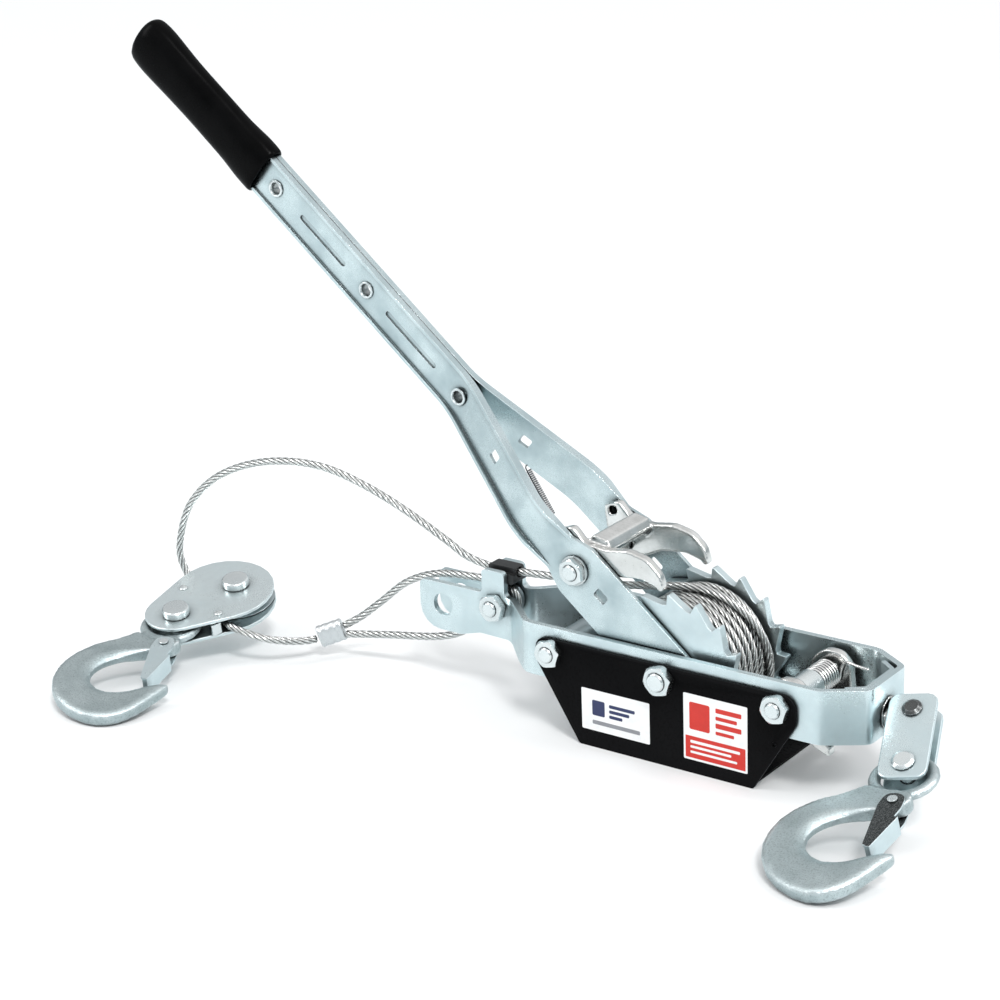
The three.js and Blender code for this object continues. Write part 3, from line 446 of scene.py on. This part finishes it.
def smooth_curve(points, per=24):
    """Centripetal Catmull-Rom curve through the points, per steps to a span."""
    knots = [np.array(point, float) for point in points]
    knots = [2 * knots[0] - knots[1]] + knots + [2 * knots[-1] - knots[-2]]
    curve = []
    for i in range(1, len(knots) - 2):
        before, start, end, after = knots[i - 1:i + 3]
        gap0, gap1, gap2 = (max(np.linalg.norm(q - p) ** 0.5, 1e-4)
                            for p, q in ((before, start), (start, end), (end, after)))
        slope0 = ((start - before) / gap0 - (end - before) / (gap0 + gap1)
                  + (end - start) / gap1) * gap1
        slope1 = ((end - start) / gap1 - (after - start) / (gap1 + gap2)
                  + (after - end) / gap2) * gap1
        for t in np.linspace(0, 1, per, endpoint=False):
            curve.append(start + slope0 * t
                         + (-3 * start + 3 * end - 2 * slope0 - slope1) * t * t
                         + (2 * start - 2 * end + slope0 + slope1) * t ** 3)
    curve.append(knots[-2])
    return np.array(curve)


def even_steps(path, step):
    """The path resampled at about equal steps, and the length run at each point."""
    run = np.r_[0, np.cumsum(np.linalg.norm(np.diff(path, axis=0), axis=1))]
    count = max(2, int(round(run[-1] / step)) + 1)
    even = np.linspace(0, run[-1], count)
    return np.stack([np.interp(even, run, path[:, k]) for k in range(3)], 1), even


def section_axes(path):
    """Two axes across the path at each point, carried along it without twist."""
    tangents = np.gradient(path, axis=0)
    tangents /= np.linalg.norm(tangents, axis=1)[:, None]
    normals = np.zeros_like(path)
    normal = np.array([0, 0, 1.0]) if abs(tangents[0][2]) < 0.8 else np.array([1.0, 0, 0])
    for i, tangent in enumerate(tangents):
        normal = normal - normal.dot(tangent) * tangent
        normal /= np.linalg.norm(normal)
        normals[i] = normal
    return normals, np.cross(tangents, normals)


def around(count):
    """Equal angles round a full turn."""
    return np.arange(count) * 2 * math.pi / count


def new_mesh(name, points, faces):
    mesh = bpy.data.meshes.new(name)
    mesh.from_pydata((np.asarray(points) * MM).tolist(), [], faces)
    return mesh


def face_outward(mesh):
    bm = bmesh.new()
    bm.from_mesh(mesh)
    bmesh.ops.recalc_face_normals(bm, faces=bm.faces)
    bm.to_mesh(mesh)
    bm.free()
    return mesh


def grid_faces(rings, size, wrap=False):
    """Quads between neighbouring rings of equal size; wrap joins the last to the first."""
    faces = []
    for i in range(rings if wrap else rings - 1):
        here, ahead = i * size, (i + 1) % rings * size
        for j in range(size):
            after = (j + 1) % size
            faces.append((here + j, here + after, ahead + after, ahead + j))
    return faces


def tube(name, rings, start, end):
    """Rings joined in order, with a fan round the given centre at either end."""
    size = len(rings[0])
    faces = grid_faces(len(rings), size)
    centre = len(rings) * size
    last = centre - size
    for j in range(size):
        after = (j + 1) % size
        faces.append((centre, after, j))
        faces.append((centre + 1, last + j, last + after))
    mesh = new_mesh(name, np.concatenate([*rings, [start], [end]]), faces)
    mesh.validate()
    return mesh


def loft(rings):
    return face_outward(tube("loft", rings, rings[0].mean(0), rings[-1].mean(0)))


def sweep(path, radii, twist=None):
    """Tube along a path. radii go round the section; twist turns it along the path."""
    angles = around(len(radii))
    rings = []
    for i, (point, across, aside) in enumerate(zip(path, *section_axes(path))):
        turned = angles + (twist[i] if twist is not None else 0)
        rings.append(point + (np.cos(turned) * radii)[:, None] * across
                     + (np.sin(turned) * radii)[:, None] * aside)
    return tube("sweep", rings, path[0], path[-1])


def lathe_y(profile, segments=96):
    """Closed ring round the axle: profile is a closed loop of (radius, y)."""
    points = [(radius * math.cos(angle), y, radius * math.sin(angle))
              for angle in (TURN * i / segments for i in range(segments))
              for radius, y in profile]
    faces = grid_faces(segments, len(profile), wrap=True)
    return face_outward(new_mesh("lathe", world(points), faces))


def helix_y(radius, y_start, y_span, turns, per_turn, start_angle, x=0):
    """Helix round an axis along Y, at axle height."""
    t = np.linspace(0, 1, int(turns * per_turn) + 1)
    angle = t * turns * TURN + math.radians(start_angle)
    return np.stack([x + radius * np.cos(angle), y_start + y_span * t,
                     radius * np.sin(angle)], 1)


def join(meshes, material_indices):
    bm = bmesh.new()
    for mesh, index in zip(meshes, material_indices):
        before = len(bm.faces)
        bm.from_mesh(mesh)
        bm.faces.ensure_lookup_table()
        for face in bm.faces[before:]:
            face.material_index = index
    joined = bpy.data.meshes.new("joined")
    bm.to_mesh(joined)
    bm.free()
    return joined


# ------------------------------------------------------------------ CAD nodes that stay
dress(ZINC, "frame_strap", "nose_plate", width=0.55, segments=3)
dress(ZINC, "link_plate_front", "link_plate_rear", width=0.6, segments=3)
dress(ZINC_BLOCK, "block_plate_top", "block_plate_bottom", width=0.6, segments=3)
dress(ZINC_LEVER, "lever_channel_front", "lever_channel_rear", width=0.3)
dress(GUARD, "guard", width=0.3)
for joint in ("waist", "drum_axle", "holding_pawl", "rope_anchor", "drive_pawl"):
    dress(ZINC_BOLT, joint + "_bolt", joint + "_nut", width=0.4)
dress(ZINC_BOLT, "swivel_nut", width=0.4)
dress(ZINC_BOLT, "lever_eyelet_1", "lever_eyelet_2", "lever_eyelet_3", width=0.15, angle=50)
dress(ZINC_BOLT, "holding_pawl_sleeve", "block_spacer_left", "block_spacer_right", width=0.3)
dress(ZINC_BOLT, "hook_rivet", "sheave_rivet", "block_hook_rivet", "nose_latch_pin",
      "block_latch_pin", width=0.4, segments=3)
dress(ZINC_DARK, "swivel_rivet", width=0.4, segments=3)
dress(ZINC_WHEEL, "ratchet_wheel_front", "ratchet_wheel_rear", width=0.35)
dress(ZINC_WHEEL, "block_latch", width=0.3)
dress(ZINC_LATCH, "nose_latch", width=0.3)
dress(ZINC_INNER, "drum_core", "waist_spacer", "rope_thimble", width=0.3)
dress(ZINC_INNER, "sheave", width=0.4)
dress(INSERT, "rope_guide_insert", width=0.3)

# ------------------------------------------------------------------ cast and forged parts
# Hook frames: world origin, then the x, y and z axes; z is square to the hook's flat.
NOSE_HOOK_FRAME = np.array([
    [160.92, -39.16, 31.54],
    [0.9957, 0.03424, 0.08611], [-0.05345, 0.97131, 0.23174], [-0.07571, -0.23535, 0.96896]])
BLOCK_HOOK_FRAME = np.array([
    [-359.99, -72.24, 24.78],
    [0.9444, 0.32701, -0.03422], [-0.31577, 0.93106, 0.18278], [0.09163, -0.16181, 0.98256]])

# Hook outlines, (x, y) in the hook's frame before OUTLINE_SCALE.
OUTLINE_SCALE = 0.975
HOOK_OUTER = [
    (-15, -15), (-19.5, -19), (-27, -27), (-37, -34), (-47.6, -45.5), (-53, -61), (-52, -79),
    (-43.5, -96), (-28, -109), (-10, -115), (4, -111.5), (14, -101), (20.5, -87), (26.4, -72.6)]
HOOK_INNER = [
    (25.6, -68.6), (19, -69.6), (11, -74.2), (1, -81.5), (-11, -84.4), (-21.5, -80.6),
    (-28.6, -72.5), (-30.4, -63.5), (-27.4, -54.5), (-19.5, -46.4), (-10.5, -40.6), (-2, -36.5)]


def edge_thinning(points, outline, width, least):
    """Share of the thickness: least on the outline, rising to one at width from it."""
    nearest = np.full(len(points), 1e9)
    for x, y in smooth_curve(np.array(outline) * OUTLINE_SCALE, 10):
        nearest = np.minimum(nearest, np.hypot(points[:, 0] - x, points[:, 1] - y))
    t = np.clip(nearest / width, 0, 1)
    return least + (1 - least) * (1 - (1 - t) ** 2)


def shape_hook(mesh, hook_frame):
    """Forged section: sloped band inside the bowl, rounded shoulder outside."""
    shank_scale, bowl_scale = 1.04, 1.1
    flat = np.zeros(len(mesh.vertices) * 3)
    mesh.vertices.foreach_get("co", flat)
    origin, axes = hook_frame[0], hook_frame[1:]
    local = (flat.reshape(-1, 3) / MM - origin) @ axes.T
    thinning = (edge_thinning(local, HOOK_INNER, width=7.5, least=0.42)
                * edge_thinning(local, HOOK_OUTER, width=5.0, least=0.66))
    # Eases from the shank into the bowl between y = -34 and y = -44.
    bowl = np.clip((-34 - local[:, 1]) / 10, 0, 1)
    bowl = bowl * bowl * (3 - 2 * bowl)
    local[:, 2] *= shank_scale - bowl * (shank_scale - thinning * bowl_scale)
    mesh.vertices.foreach_set("co", ((local @ axes + origin) * MM).ravel())
    mesh.update()


for source, hook_frame in (("nose_hook", NOSE_HOOK_FRAME), ("block_hook", BLOCK_HOOK_FRAME)):
    add_rounded(source, source + "_forging", FORGING, source + "_body",
                voxel=0.85, rounds=14, factor=0.6, hook_frame=hook_frame)
add_rounded("swivel_eye", "swivel_eye_forging", CASTING, "swivel",
            voxel=0.7, rounds=6)
for source in ("drive_pawl", "holding_pawl"):
    add_rounded(source, source + "_casting", CASTING, source + "_body",
                voxel=0.8, rounds=9)

# ------------------------------------------------------------------ grip
# Components of the lever's direction, rising from the axle towards -X.
LEVER_RUN, LEVER_RISE = 0.76828, 0.64011

# Outside of the grip: (distance along the lever, half depth, half width along Y).
GRIP_OUTSIDE = [
    (411.6, 15.6, 7.3), (411.0, 16.4, 8.0), (411.2, 17.2, 8.9), (412.4, 17.8, 9.5),
    (415, 18.0, 9.8), (423, 18.0, 9.8), (432, 17.4, 9.3), (440, 16.9, 8.9), (460, 16.7, 8.8),
    (480, 16.7, 8.8), (495, 17.0, 9.0), (505, 17.4, 9.4), (514, 17.8, 9.7), (520, 17.9, 9.8),
    (526, 17.6, 9.6), (530.5, 16.8, 9.1), (533.3, 15.0, 8.2), (535, 12.2, 6.8),
    (535.9, 8.2, 4.6), (536.2, 3.6, 2.2)]
# Pocket from its floor to the mouth: the same columns, then the corner exponent.
GRIP_POCKET = [(500, 14.7, 5.1, 0.25), (430, 14.7, 5.1, 0.25), (413.5, 14.75, 5.15, 0.25),
               (412.0, 15.1, 6.2, 0.4)]


def grip_ring(along, half_depth, half_width, exponent, waviness=0.0):
    """Superellipse across the lever; a smaller exponent gives squarer corners."""
    angles = around(72)
    cos, sin = np.cos(angles), np.sin(angles)
    wave = (1 + waviness * np.sin(3 * angles + along * 0.12)
            + waviness * 0.7 * np.sin(5 * angles - along * 0.07))
    depth = half_depth * np.sign(cos) * np.abs(cos) ** exponent * wave
    y = half_width * np.sign(sin) * np.abs(sin) ** exponent * wave
    return world(np.stack([-LEVER_RUN * along - LEVER_RISE * depth, y,
                           LEVER_RISE * along - LEVER_RUN * depth], 1))


def grip():
    rings = [grip_ring(*row) for row in GRIP_POCKET]
    for along, half_depth, half_width in smooth_curve(GRIP_OUTSIDE, 5):
        rings.append(grip_ring(along, half_depth, half_width,
                               exponent=0.8 if along < 533 else 0.9,
                               waviness=0.004 if 414 < along < 533 else 0))
    return loft(rings)


add_piece("handle_grip_sleeve", grip(), VINYL, "handle", "grip")

# ------------------------------------------------------------------ rope
LOBES = 6
LOBE_POINTS = 6
ROPE_RADIUS = 2.5
ROPE_LAY = 33.0
STRAND_CENTRE = 0.635 * ROPE_RADIUS
STRAND_RADIUS = 0.365 * ROPE_RADIUS

# The pulley block's own frame, about the axle.
BLOCK_ORIGIN = np.array([-345.5, -21.6, -22.3])
BLOCK_X = np.array([0.95273, -0.27279, -0.13378])
BLOCK_Y = np.array([0.29312, 0.94111, 0.16849])
BLOCK_Z = np.array([0.07993, -0.19974, 0.97658])


def at_block(x, y, z=0.0):
    return (BLOCK_ORIGIN + x * BLOCK_X + y * BLOCK_Y + z * BLOCK_Z).tolist()


def arc_point(degrees, y, radius, x=0, z=0):
    """A point on a circle round an axis along Y."""
    angle = math.radians(degrees)
    return [x + radius * math.cos(angle), y, z + radius * math.sin(angle)]


def add_rope(name, path, body, replaces, step=1.1, phase=0.0):
    """Stranded rope: lobes laid helically round the path, with UVs along the strands."""
    path, run = even_steps(world(path), step)
    size = LOBES * LOBE_POINTS
    share = (np.arange(size) / LOBE_POINTS) % 1.0
    angle = (share - 0.5) * 2 * math.pi / LOBES
    half_chord = np.sqrt(np.maximum(STRAND_RADIUS ** 2 - (STRAND_CENTRE * np.sin(angle)) ** 2, 0))
    radii = STRAND_CENTRE * np.cos(angle) + half_chord
    mesh = sweep(path, radii, twist=TURN * run / ROPE_LAY + phase)

    # 0 on a strand's crown, 1 in the valley and at the two end centres.
    valley = (np.abs(share - 0.5) * 2) ** 2
    groove = np.r_[np.tile(valley, len(path)), 1.0, 1.0].astype(np.float32)
    mesh.attributes.new("groove", "FLOAT", "POINT").data.foreach_set("value", groove)

    uv = np.zeros((len(groove), 2), np.float32)
    uv[:-2, 0] = np.tile(np.arange(size) / LOBE_POINTS, len(path))
    uv[:-2, 1] = np.repeat(run / ROPE_LAY, size)
    corners = np.zeros(len(mesh.loops), np.int32)
    layer = mesh.uv_layers.new(name="UVMap")
    mesh.loops.foreach_get("vertex_index", corners)
    layer.data.foreach_set("uv", uv[corners].ravel())
    add_piece(name, mesh, ROPE, body, replaces)


# Off the drum, over to the block, round its sheave and back to the ferrule.
# Drum part: (degrees, y). Open and return parts: (x, y, z). Sheave part: block (x, y).
LINE_ON_DRUM = [(-28, 14.0), (-10, 13.2), (8, 11.8), (26, 9.6), (44, 7.0), (62, 4.2), (80, 1.9),
                (97, 0.6)]
LINE_OPEN = [
    [-32, 0.1, 39.4], [-60, 0, 34.7], [-110, 0, 30.6], [-128, 0, 29.1], [-140, 0, 28],
    [-152, 0, 28.6], [-168, -1, 32], [-183.2, -2.5, 40.5], [-213.1, -5, 55.9],
    [-243.4, -7.5, 68.1], [-274.5, -10, 75.6], [-307.6, -12.5, 74.7], [-339.4, -15, 66.4],
    [-365.9, -17, 51.9], [-384.6, -19, 32.3], [-392.5, -20.5, 13], [-394.6, -21.5, -5]]
LINE_ON_SHEAVE = [(-41.5, -12.2), (-29, -18.8), (-16, -23.3), (0, -24.4), (16, -24.6), (32, -25)]
LINE_RETURN = [[-301.1, -48, -36], [-291.5, -38, -39.4], [-285, -28, -41.6], [-280.7, -20, -42.2]]
line = [arc_point(degrees, y, radius=44.35) for degrees, y in LINE_ON_DRUM]
line += LINE_OPEN + [at_block(x, y) for x, y in LINE_ON_SHEAVE] + LINE_RETURN
add_rope("rope_line_strands", smooth_curve(line), "frame", "rope_line")

# From the ferrule along the upper leg, round the bend and back along the lower leg.
EYE_UPPER = [
    [-265.2, -8.8, -33.2], [-255, -4.6, -26.6], [-239, -2, -13.4], [-218.2, 0, 4],
    [-194.4, 0, 14.6], [-167.4, 0, 18.4], [-151, 0, 19]]
EYE_LOWER = [
    [-152, 0, -6.5], [-166, 0, -15.5], [-180.6, 0, -24], [-195.8, -1, -28.8],
    [-227.8, -4, -33.6], [-247, -6.4, -36.4], [-262.6, -9.6, -38.4]]
bend = [arc_point(degrees, 0, radius=9.7, x=-140, z=7.5) for degrees in range(80, -89, -28)]
add_rope("rope_eye_strands", smooth_curve(EYE_UPPER + bend + EYE_LOWER), "frame", "rope_eye",
         phase=0.6)

add_rope("rope_coil_strands",
         helix_y(radius=39.25, y_start=-19.3, y_span=38.6, turns=6.0, per_turn=90,
                 start_angle=200),
         "drum", "rope_coils", step=1.15)


def coil_gap_shade():
    """Dark sleeve beneath the coils, a painted shade that shows between the turns, with a shallow
    groove at each inner station.
    """
    half_width, inner_radius, gaps = 21.6, 33.0, 7
    profile = [(inner_radius, -half_width)]
    for i in range(gaps + 1):
        y = -half_width + 2 * half_width * i / gaps
        if i in (0, gaps):
            profile.append((37.6, y))
        else:
            profile += [(37.9, y - 1.2), (37.2, y), (37.9, y + 1.2)]
    profile.append((inner_radius, half_width))
    return lathe_y(profile)


add_piece("rope_coil_gap_shade", coil_gap_shade(), plastic("rope_shadow", (0.03, 0.03, 0.03), rough=0.5),
          "drum")

# ------------------------------------------------------------------ spacer heads on the block
HEAD_RADIUS = 2.9
# (share of the radius, share of the height) up the peened head.
HEAD_PROFILE = ((1, 0.35), (0.9, 0.75), (0.68, 0.97), (0.3, 1.02))


def spacer_head(x, y, plate_z, height):
    rows = [(HEAD_RADIUS, plate_z - 0.3)]
    rows += [(HEAD_RADIUS * wide, plate_z + high * height) for wide, high in HEAD_PROFILE]
    return loft([world([at_block(x + radius * math.cos(angle), y + radius * math.sin(angle), z)
                        for angle in around(28)]) for radius, z in rows])


for side, plate_z, height in (("top", 6.8, 1.1), ("bottom", -6.8, -1.1)):
    heads = [spacer_head(x, -27.5, plate_z, height) for x in (-22, 20)]
    add_piece("block_spacer_heads_" + side, join(heads, [0, 0]), ZINC_BOLT, "block")

# ------------------------------------------------------------------ ferrule
FERRULE_START = np.array([-279.5, -17.5, -41.2])
FERRULE_END = np.array([-266.5, -8.5, -35.8])


def ferrule():
    """Oval sleeve with three pressed waists, turned to match the CAD ferrule's section."""
    half_flat, radius = 3.0, 4.55
    along = FERRULE_END - FERRULE_START
    length = np.linalg.norm(along)
    along /= length
    half = length / 2
    centre = world((FERRULE_START + FERRULE_END) / 2)

    # The widest direction across the CAD ferrule.
    cad = np.array([v.co for v in nodes["ferrule"].data.vertices], float) / MM - centre
    across = cad - np.outer(cad @ along, along)
    wide_axis = np.linalg.eigh(across.T @ across)[1][:, 2]
    if wide_axis[2] < 0:
        wide_axis = -wide_axis
    narrow_axis = np.cross(along, wide_axis)

    # (distance from the middle, share of the radius)
    rows = [(-half, 0.80), (-half, 0.93), (-half + 0.5, 0.99), (-half + 1.2, 1.0)]
    for i in range(3):
        waist = -half + 3.2 + i * (length - 6.4) / 2
        rows += [(waist - 1.5, 1.0), (waist - 0.8, 0.955), (waist, 0.93), (waist + 0.8, 0.955),
                 (waist + 1.5, 1.0)]
    rows += [(half - 1.2, 1.0), (half - 0.5, 0.99), (half, 0.93), (half, 0.80)]

    angles = around(48)
    cos, sin = np.cos(angles), np.sin(angles)
    shift = half_flat * np.sign(cos) * (np.abs(cos) > 0.02)
    return loft([centre + place * along + np.outer(shift + radius * cos * share, wide_axis)
                 + np.outer(radius * sin * share, narrow_axis) for place, share in rows])


add_piece("rope_ferrule_pressed", ferrule(), FERRULE, "frame", "ferrule")


# ------------------------------------------------------------------ springs
def wire(path, radius):
    return sweep(world(path), np.full(12, radius))


def drive_spring():
    """Coil between two points, its wire turned in at both ends."""
    start, end = np.array([-86, -20, 78.4]), np.array([-112, -12.5, 106])
    radius, turns, lead = 1.45, 24, 3.2
    along = end - start
    length = np.linalg.norm(along)
    along /= length
    across = np.cross(along, [0, 1, 0])
    across /= np.linalg.norm(across)
    aside = np.cross(along, across)
    t = np.linspace(0, 1, turns * 22 + 1)
    angle = t * turns * TURN
    coil = (start + np.outer(lead + (length - 2 * lead) * t, along)
            + radius * (np.outer(np.cos(angle), across) + np.outer(np.sin(angle), aside)))
    out = math.cos(angle[-1]) * across + math.sin(angle[-1]) * aside
    first = [start + along * 0.4 - across * radius * 0.6,
             start + across * 0.2,
             start + along + across * radius * 0.9]
    last = [end - along + out * radius * 0.9,
            end - out * 0.2,
            end - along * 0.4 - out * radius * 0.6]
    return wire(np.concatenate([first, coil, last]), 0.42)


def holding_spring():
    """Torsion coil round the holding pawl's bolt, ending in a leg towards +X."""
    coil = helix_y(radius=8.1, y_start=1.7, y_span=18.4, turns=7.25, per_turn=40,
                   start_angle=-90, x=79)
    end = coil[-1]
    tangent = end - coil[-2]
    tangent /= np.linalg.norm(tangent)
    leg = [end, end + tangent * 1.5, [92, 17.5, 10.2], [101, 15.6, 10.3], [109, 15, 10]]
    return wire(np.concatenate([coil, smooth_curve(leg, 8)[1:]]), 0.9)


add_piece("drive_pawl_spring_coil", drive_spring(), SPRING_SHADED, "handle",
          "drive_pawl_spring")
add_piece("holding_pawl_spring_coil", holding_spring(), SPRING_BRIGHT, "frame",
          "holding_pawl_spring")

# ------------------------------------------------------------------ labels
GUARD_FACE_Y = -39.15


def label_plate(x0, x1, z0, z1, raised, radius=0.8):
    """Thin plate with rounded corners on the guard's front face."""
    y_front = GUARD_FACE_Y - raised
    # Printed layers start near their own front, clear of the film below.
    y_back = GUARD_FACE_Y + 0.02 - (raised - 0.05 if raised > 0.15 else 0.0)
    corners = ((x1 - radius, z1 - radius, 0), (x0 + radius, z1 - radius, 90),
               (x0 + radius, z0 + radius, 180), (x1 - radius, z0 + radius, 270))
    back, front = ([arc_point(start + 22.5 * i, y, radius, x, z)
                    for x, z, start in corners for i in range(5)] for y in (y_back, y_front))
    return loft([world(back), world(front)])


def add_label(name, materials, plates):
    mesh = join([label_plate(*plate) for _, *plate in plates], [plate[0] for plate in plates])
    add_piece(name, mesh, materials, "frame", smooth=False)


# Plates: (material index, x0, x1, z0, z1, height off the guard, corner radius).
add_label("label_plain", [LABEL_WHITE, LABEL_BLUE, LABEL_GREY], [
    (0, -57.2, -8.6, -44.8, -18, 0.12),
    (1, -49.6, -40.6, -34.6, -24.6, 0.17, 1.0),
    (1, -37.4, -19, -27.6, -25.4, 0.17, 0.7),
    (1, -37.4, -23, -31, -28.9, 0.17, 0.7),
    (1, -37.4, -28, -34.4, -32.3, 0.17, 0.7),
    (2, -49.6, -15.5, -40.4, -37.8, 0.17, 0.6),
])
add_label("label_rated", [LABEL_WHITE, LABEL_RED], [
    (0, 15.3, 59, -47.3, -4.8, 0.12),
    (1, 16.6, 57.7, -45.9, -31.8, 0.17, 0.4),
    (1, 19.4, 33.4, -27.4, -9.8, 0.17, 1.2),
    (1, 37.4, 55, -13.2, -10.2, 0.17, 0.6),
    (1, 37.4, 52, -17.8, -15.4, 0.17, 0.6),
    (1, 37.4, 55, -23, -19.8, 0.17, 0.6),
    (1, 37.4, 50, -27.2, -25, 0.17, 0.6),
    (0, 20, 54, -36.2, -34.4, 0.21, 0.5),
    (0, 20, 48, -39.4, -37.9, 0.21, 0.5),
    (0, 20, 52, -42.8, -41.3, 0.21, 0.5),
])


# ------------------------------------------------------------------ floor
def floor_paper():
    """Pale floor, greyer in reflections and when seen directly."""
    mat = Material("floor_paper")
    tone = mat.blend(mat.noise(scale=3, detail=2), (0.93, 0.93, 0.93), (0.92, 0.92, 0.92))
    for ray, colour in (("Is Glossy Ray", (0.7, 0.735, 0.745)),
                        ("Is Camera Ray", (0.85, 0.85, 0.85))):
        tone = mat.mix(mat.node("LightPath").outputs[ray], tone, colour)
    return mat.finish(Base_Color=tone, Roughness=0.9, Specular_IOR_Level=0.1)


def add_floor(half_side):
    """Square floor; half_side is in metres."""
    mesh = bpy.data.meshes.new("floor")
    corners = [(x * half_side, y * half_side, 0) for x, y in ((-1, -1), (1, -1), (1, 1), (-1, 1))]
    mesh.from_pydata(corners, [], [(0, 1, 2, 3)])
    floor = bpy.data.objects.new("floor", mesh)
    scene.collection.objects.link(floor)
    mesh.materials.append(floor_paper())


add_floor(half_side=14.0)

# ------------------------------------------------------------------ world
# Sky colours by the upward part of the direction, 0 at the horizon and below, 1 overhead.
SKY = [(0.0, (0.5, 0.55, 0.57)), (0.12, (0.34, 0.4, 0.43)), (0.3, (0.6, 0.66, 0.69)),
       (0.5, (1.0, 1.01, 1.02)), (0.75, (0.82, 0.84, 0.86)), (1.0, (1.05, 1.05, 1.05))]


def build_world():
    """Graded studio sky with a soft dark patch towards -X; the camera sees plain white."""
    studio = bpy.data.worlds.new("studio")
    scene.world = studio
    sky = Shader(studio)
    direction = sky.node("TexCoord").outputs["Generated"]
    upward = sky.node("SeparateXYZ", Vector=direction).outputs[2]
    ramp = sky.node("ValToRGB", Fac=upward)
    ramp.color_ramp.interpolation = "EASE"
    stops = ramp.color_ramp.elements
    for stop, (position, colour) in ((stops[0], SKY[0]), (stops[1], SKY[-1])):
        stop.position = position
        stop.color = (*colour, 1)
    for position, colour in SKY[1:-1]:
        stops.new(position).color = (*colour, 1)

    towards_patch = sky.dot(direction, Vector((-0.75, 0.35, 0.25)).normalized())
    dimming = sky.span(towards_patch, between=(0.55, 1.0), to=(1.0, 0.62))
    strength = sky.math("MULTIPLY", dimming, 0.92)
    light = sky.node("Background", Color=ramp.outputs[0], Strength=strength)
    white = sky.node("Background", Color=(1, 1, 1), Strength=1.0)
    chooser = sky.node("MixShader")
    sky.feed(chooser.inputs[0], sky.node("LightPath").outputs["Is Camera Ray"])
    sky.feed(chooser.inputs[1], light.outputs[0])
    sky.feed(chooser.inputs[2], white.outputs[0])
    sky.node("OutputWorld", Surface=chooser.outputs[0])


build_world()


# ------------------------------------------------------------------ lights, in metres
def aim(direction):
    return Vector(direction).to_track_quat("-Z", "Y").to_euler()


def add_sun(name, direction, energy, spread):
    light = bpy.data.lights.new(name, "SUN")
    light.energy = energy
    light.angle = math.radians(spread)
    holder = bpy.data.objects.new(name, light)
    holder.rotation_euler = aim(direction)
    scene.collection.objects.link(holder)


def add_area(name, place, target, size, power):
    light = bpy.data.lights.new(name, "AREA")
    light.shape = "RECTANGLE"
    light.size, light.size_y = size
    light.energy = power
    holder = bpy.data.objects.new(name, light)
    holder.location = place
    holder.rotation_euler = aim(Vector(target) - Vector(place))
    scene.collection.objects.link(holder)


add_sun("key", direction=(-0.62, 0.5, -1.0), energy=1.5, spread=14)
add_area("strip_left", place=(-1.5, -1.1, 1.3), target=(-0.1, 0, 0.08), size=(0.5, 1.6), power=14)
add_area("strip_right", place=(1.3, 0.5, 1.1), target=(0, 0, 0.1), size=(0.4, 1.4), power=10)

# ------------------------------------------------------------------ camera
CAMERA_PAN, CAMERA_TILT, CAMERA_ROLL = (math.radians(a) for a in (36.205, 19.98, -2.095))
# The axle's centre seen from the camera, in millimetres: right, up, ahead.
AXLE_IN_VIEW = Vector((117.85327, -94.07412, 1683.345))


def add_camera():
    cos_pan, sin_pan = math.cos(CAMERA_PAN), math.sin(CAMERA_PAN)
    cos_tilt, sin_tilt = math.cos(CAMERA_TILT), math.sin(CAMERA_TILT)
    cos_roll, sin_roll = math.cos(CAMERA_ROLL), math.sin(CAMERA_ROLL)
    level_right = Vector((cos_pan, sin_pan, 0))
    level_up = Vector((-sin_pan * sin_tilt, cos_pan * sin_tilt, cos_tilt))
    ahead = Vector((-sin_pan * cos_tilt, cos_pan * cos_tilt, -sin_tilt))
    right = cos_roll * level_right + sin_roll * level_up
    up = -sin_roll * level_right + cos_roll * level_up
    to_axle = Matrix((right, up, ahead)).transposed() @ AXLE_IN_VIEW
    place = (Vector((0, 0, AXLE_Z)) - to_axle) * MM

    lens = bpy.data.cameras.new("camera")
    lens.sensor_width = 36.0
    lens.lens = 100.80216
    lens.clip_start, lens.clip_end = 0.05, 60
    camera = bpy.data.objects.new("camera", lens)
    turned = Matrix((right, up, -ahead)).transposed().to_4x4()
    camera.matrix_world = Matrix.Translation(place) @ turned
    scene.collection.objects.link(camera)
    scene.camera = camera


add_camera()
scene.view_settings.view_transform = "Standard"
scene.view_settings.look = "None"
scene.view_settings.exposure = 0.0
scene.view_settings.gamma = 1.0
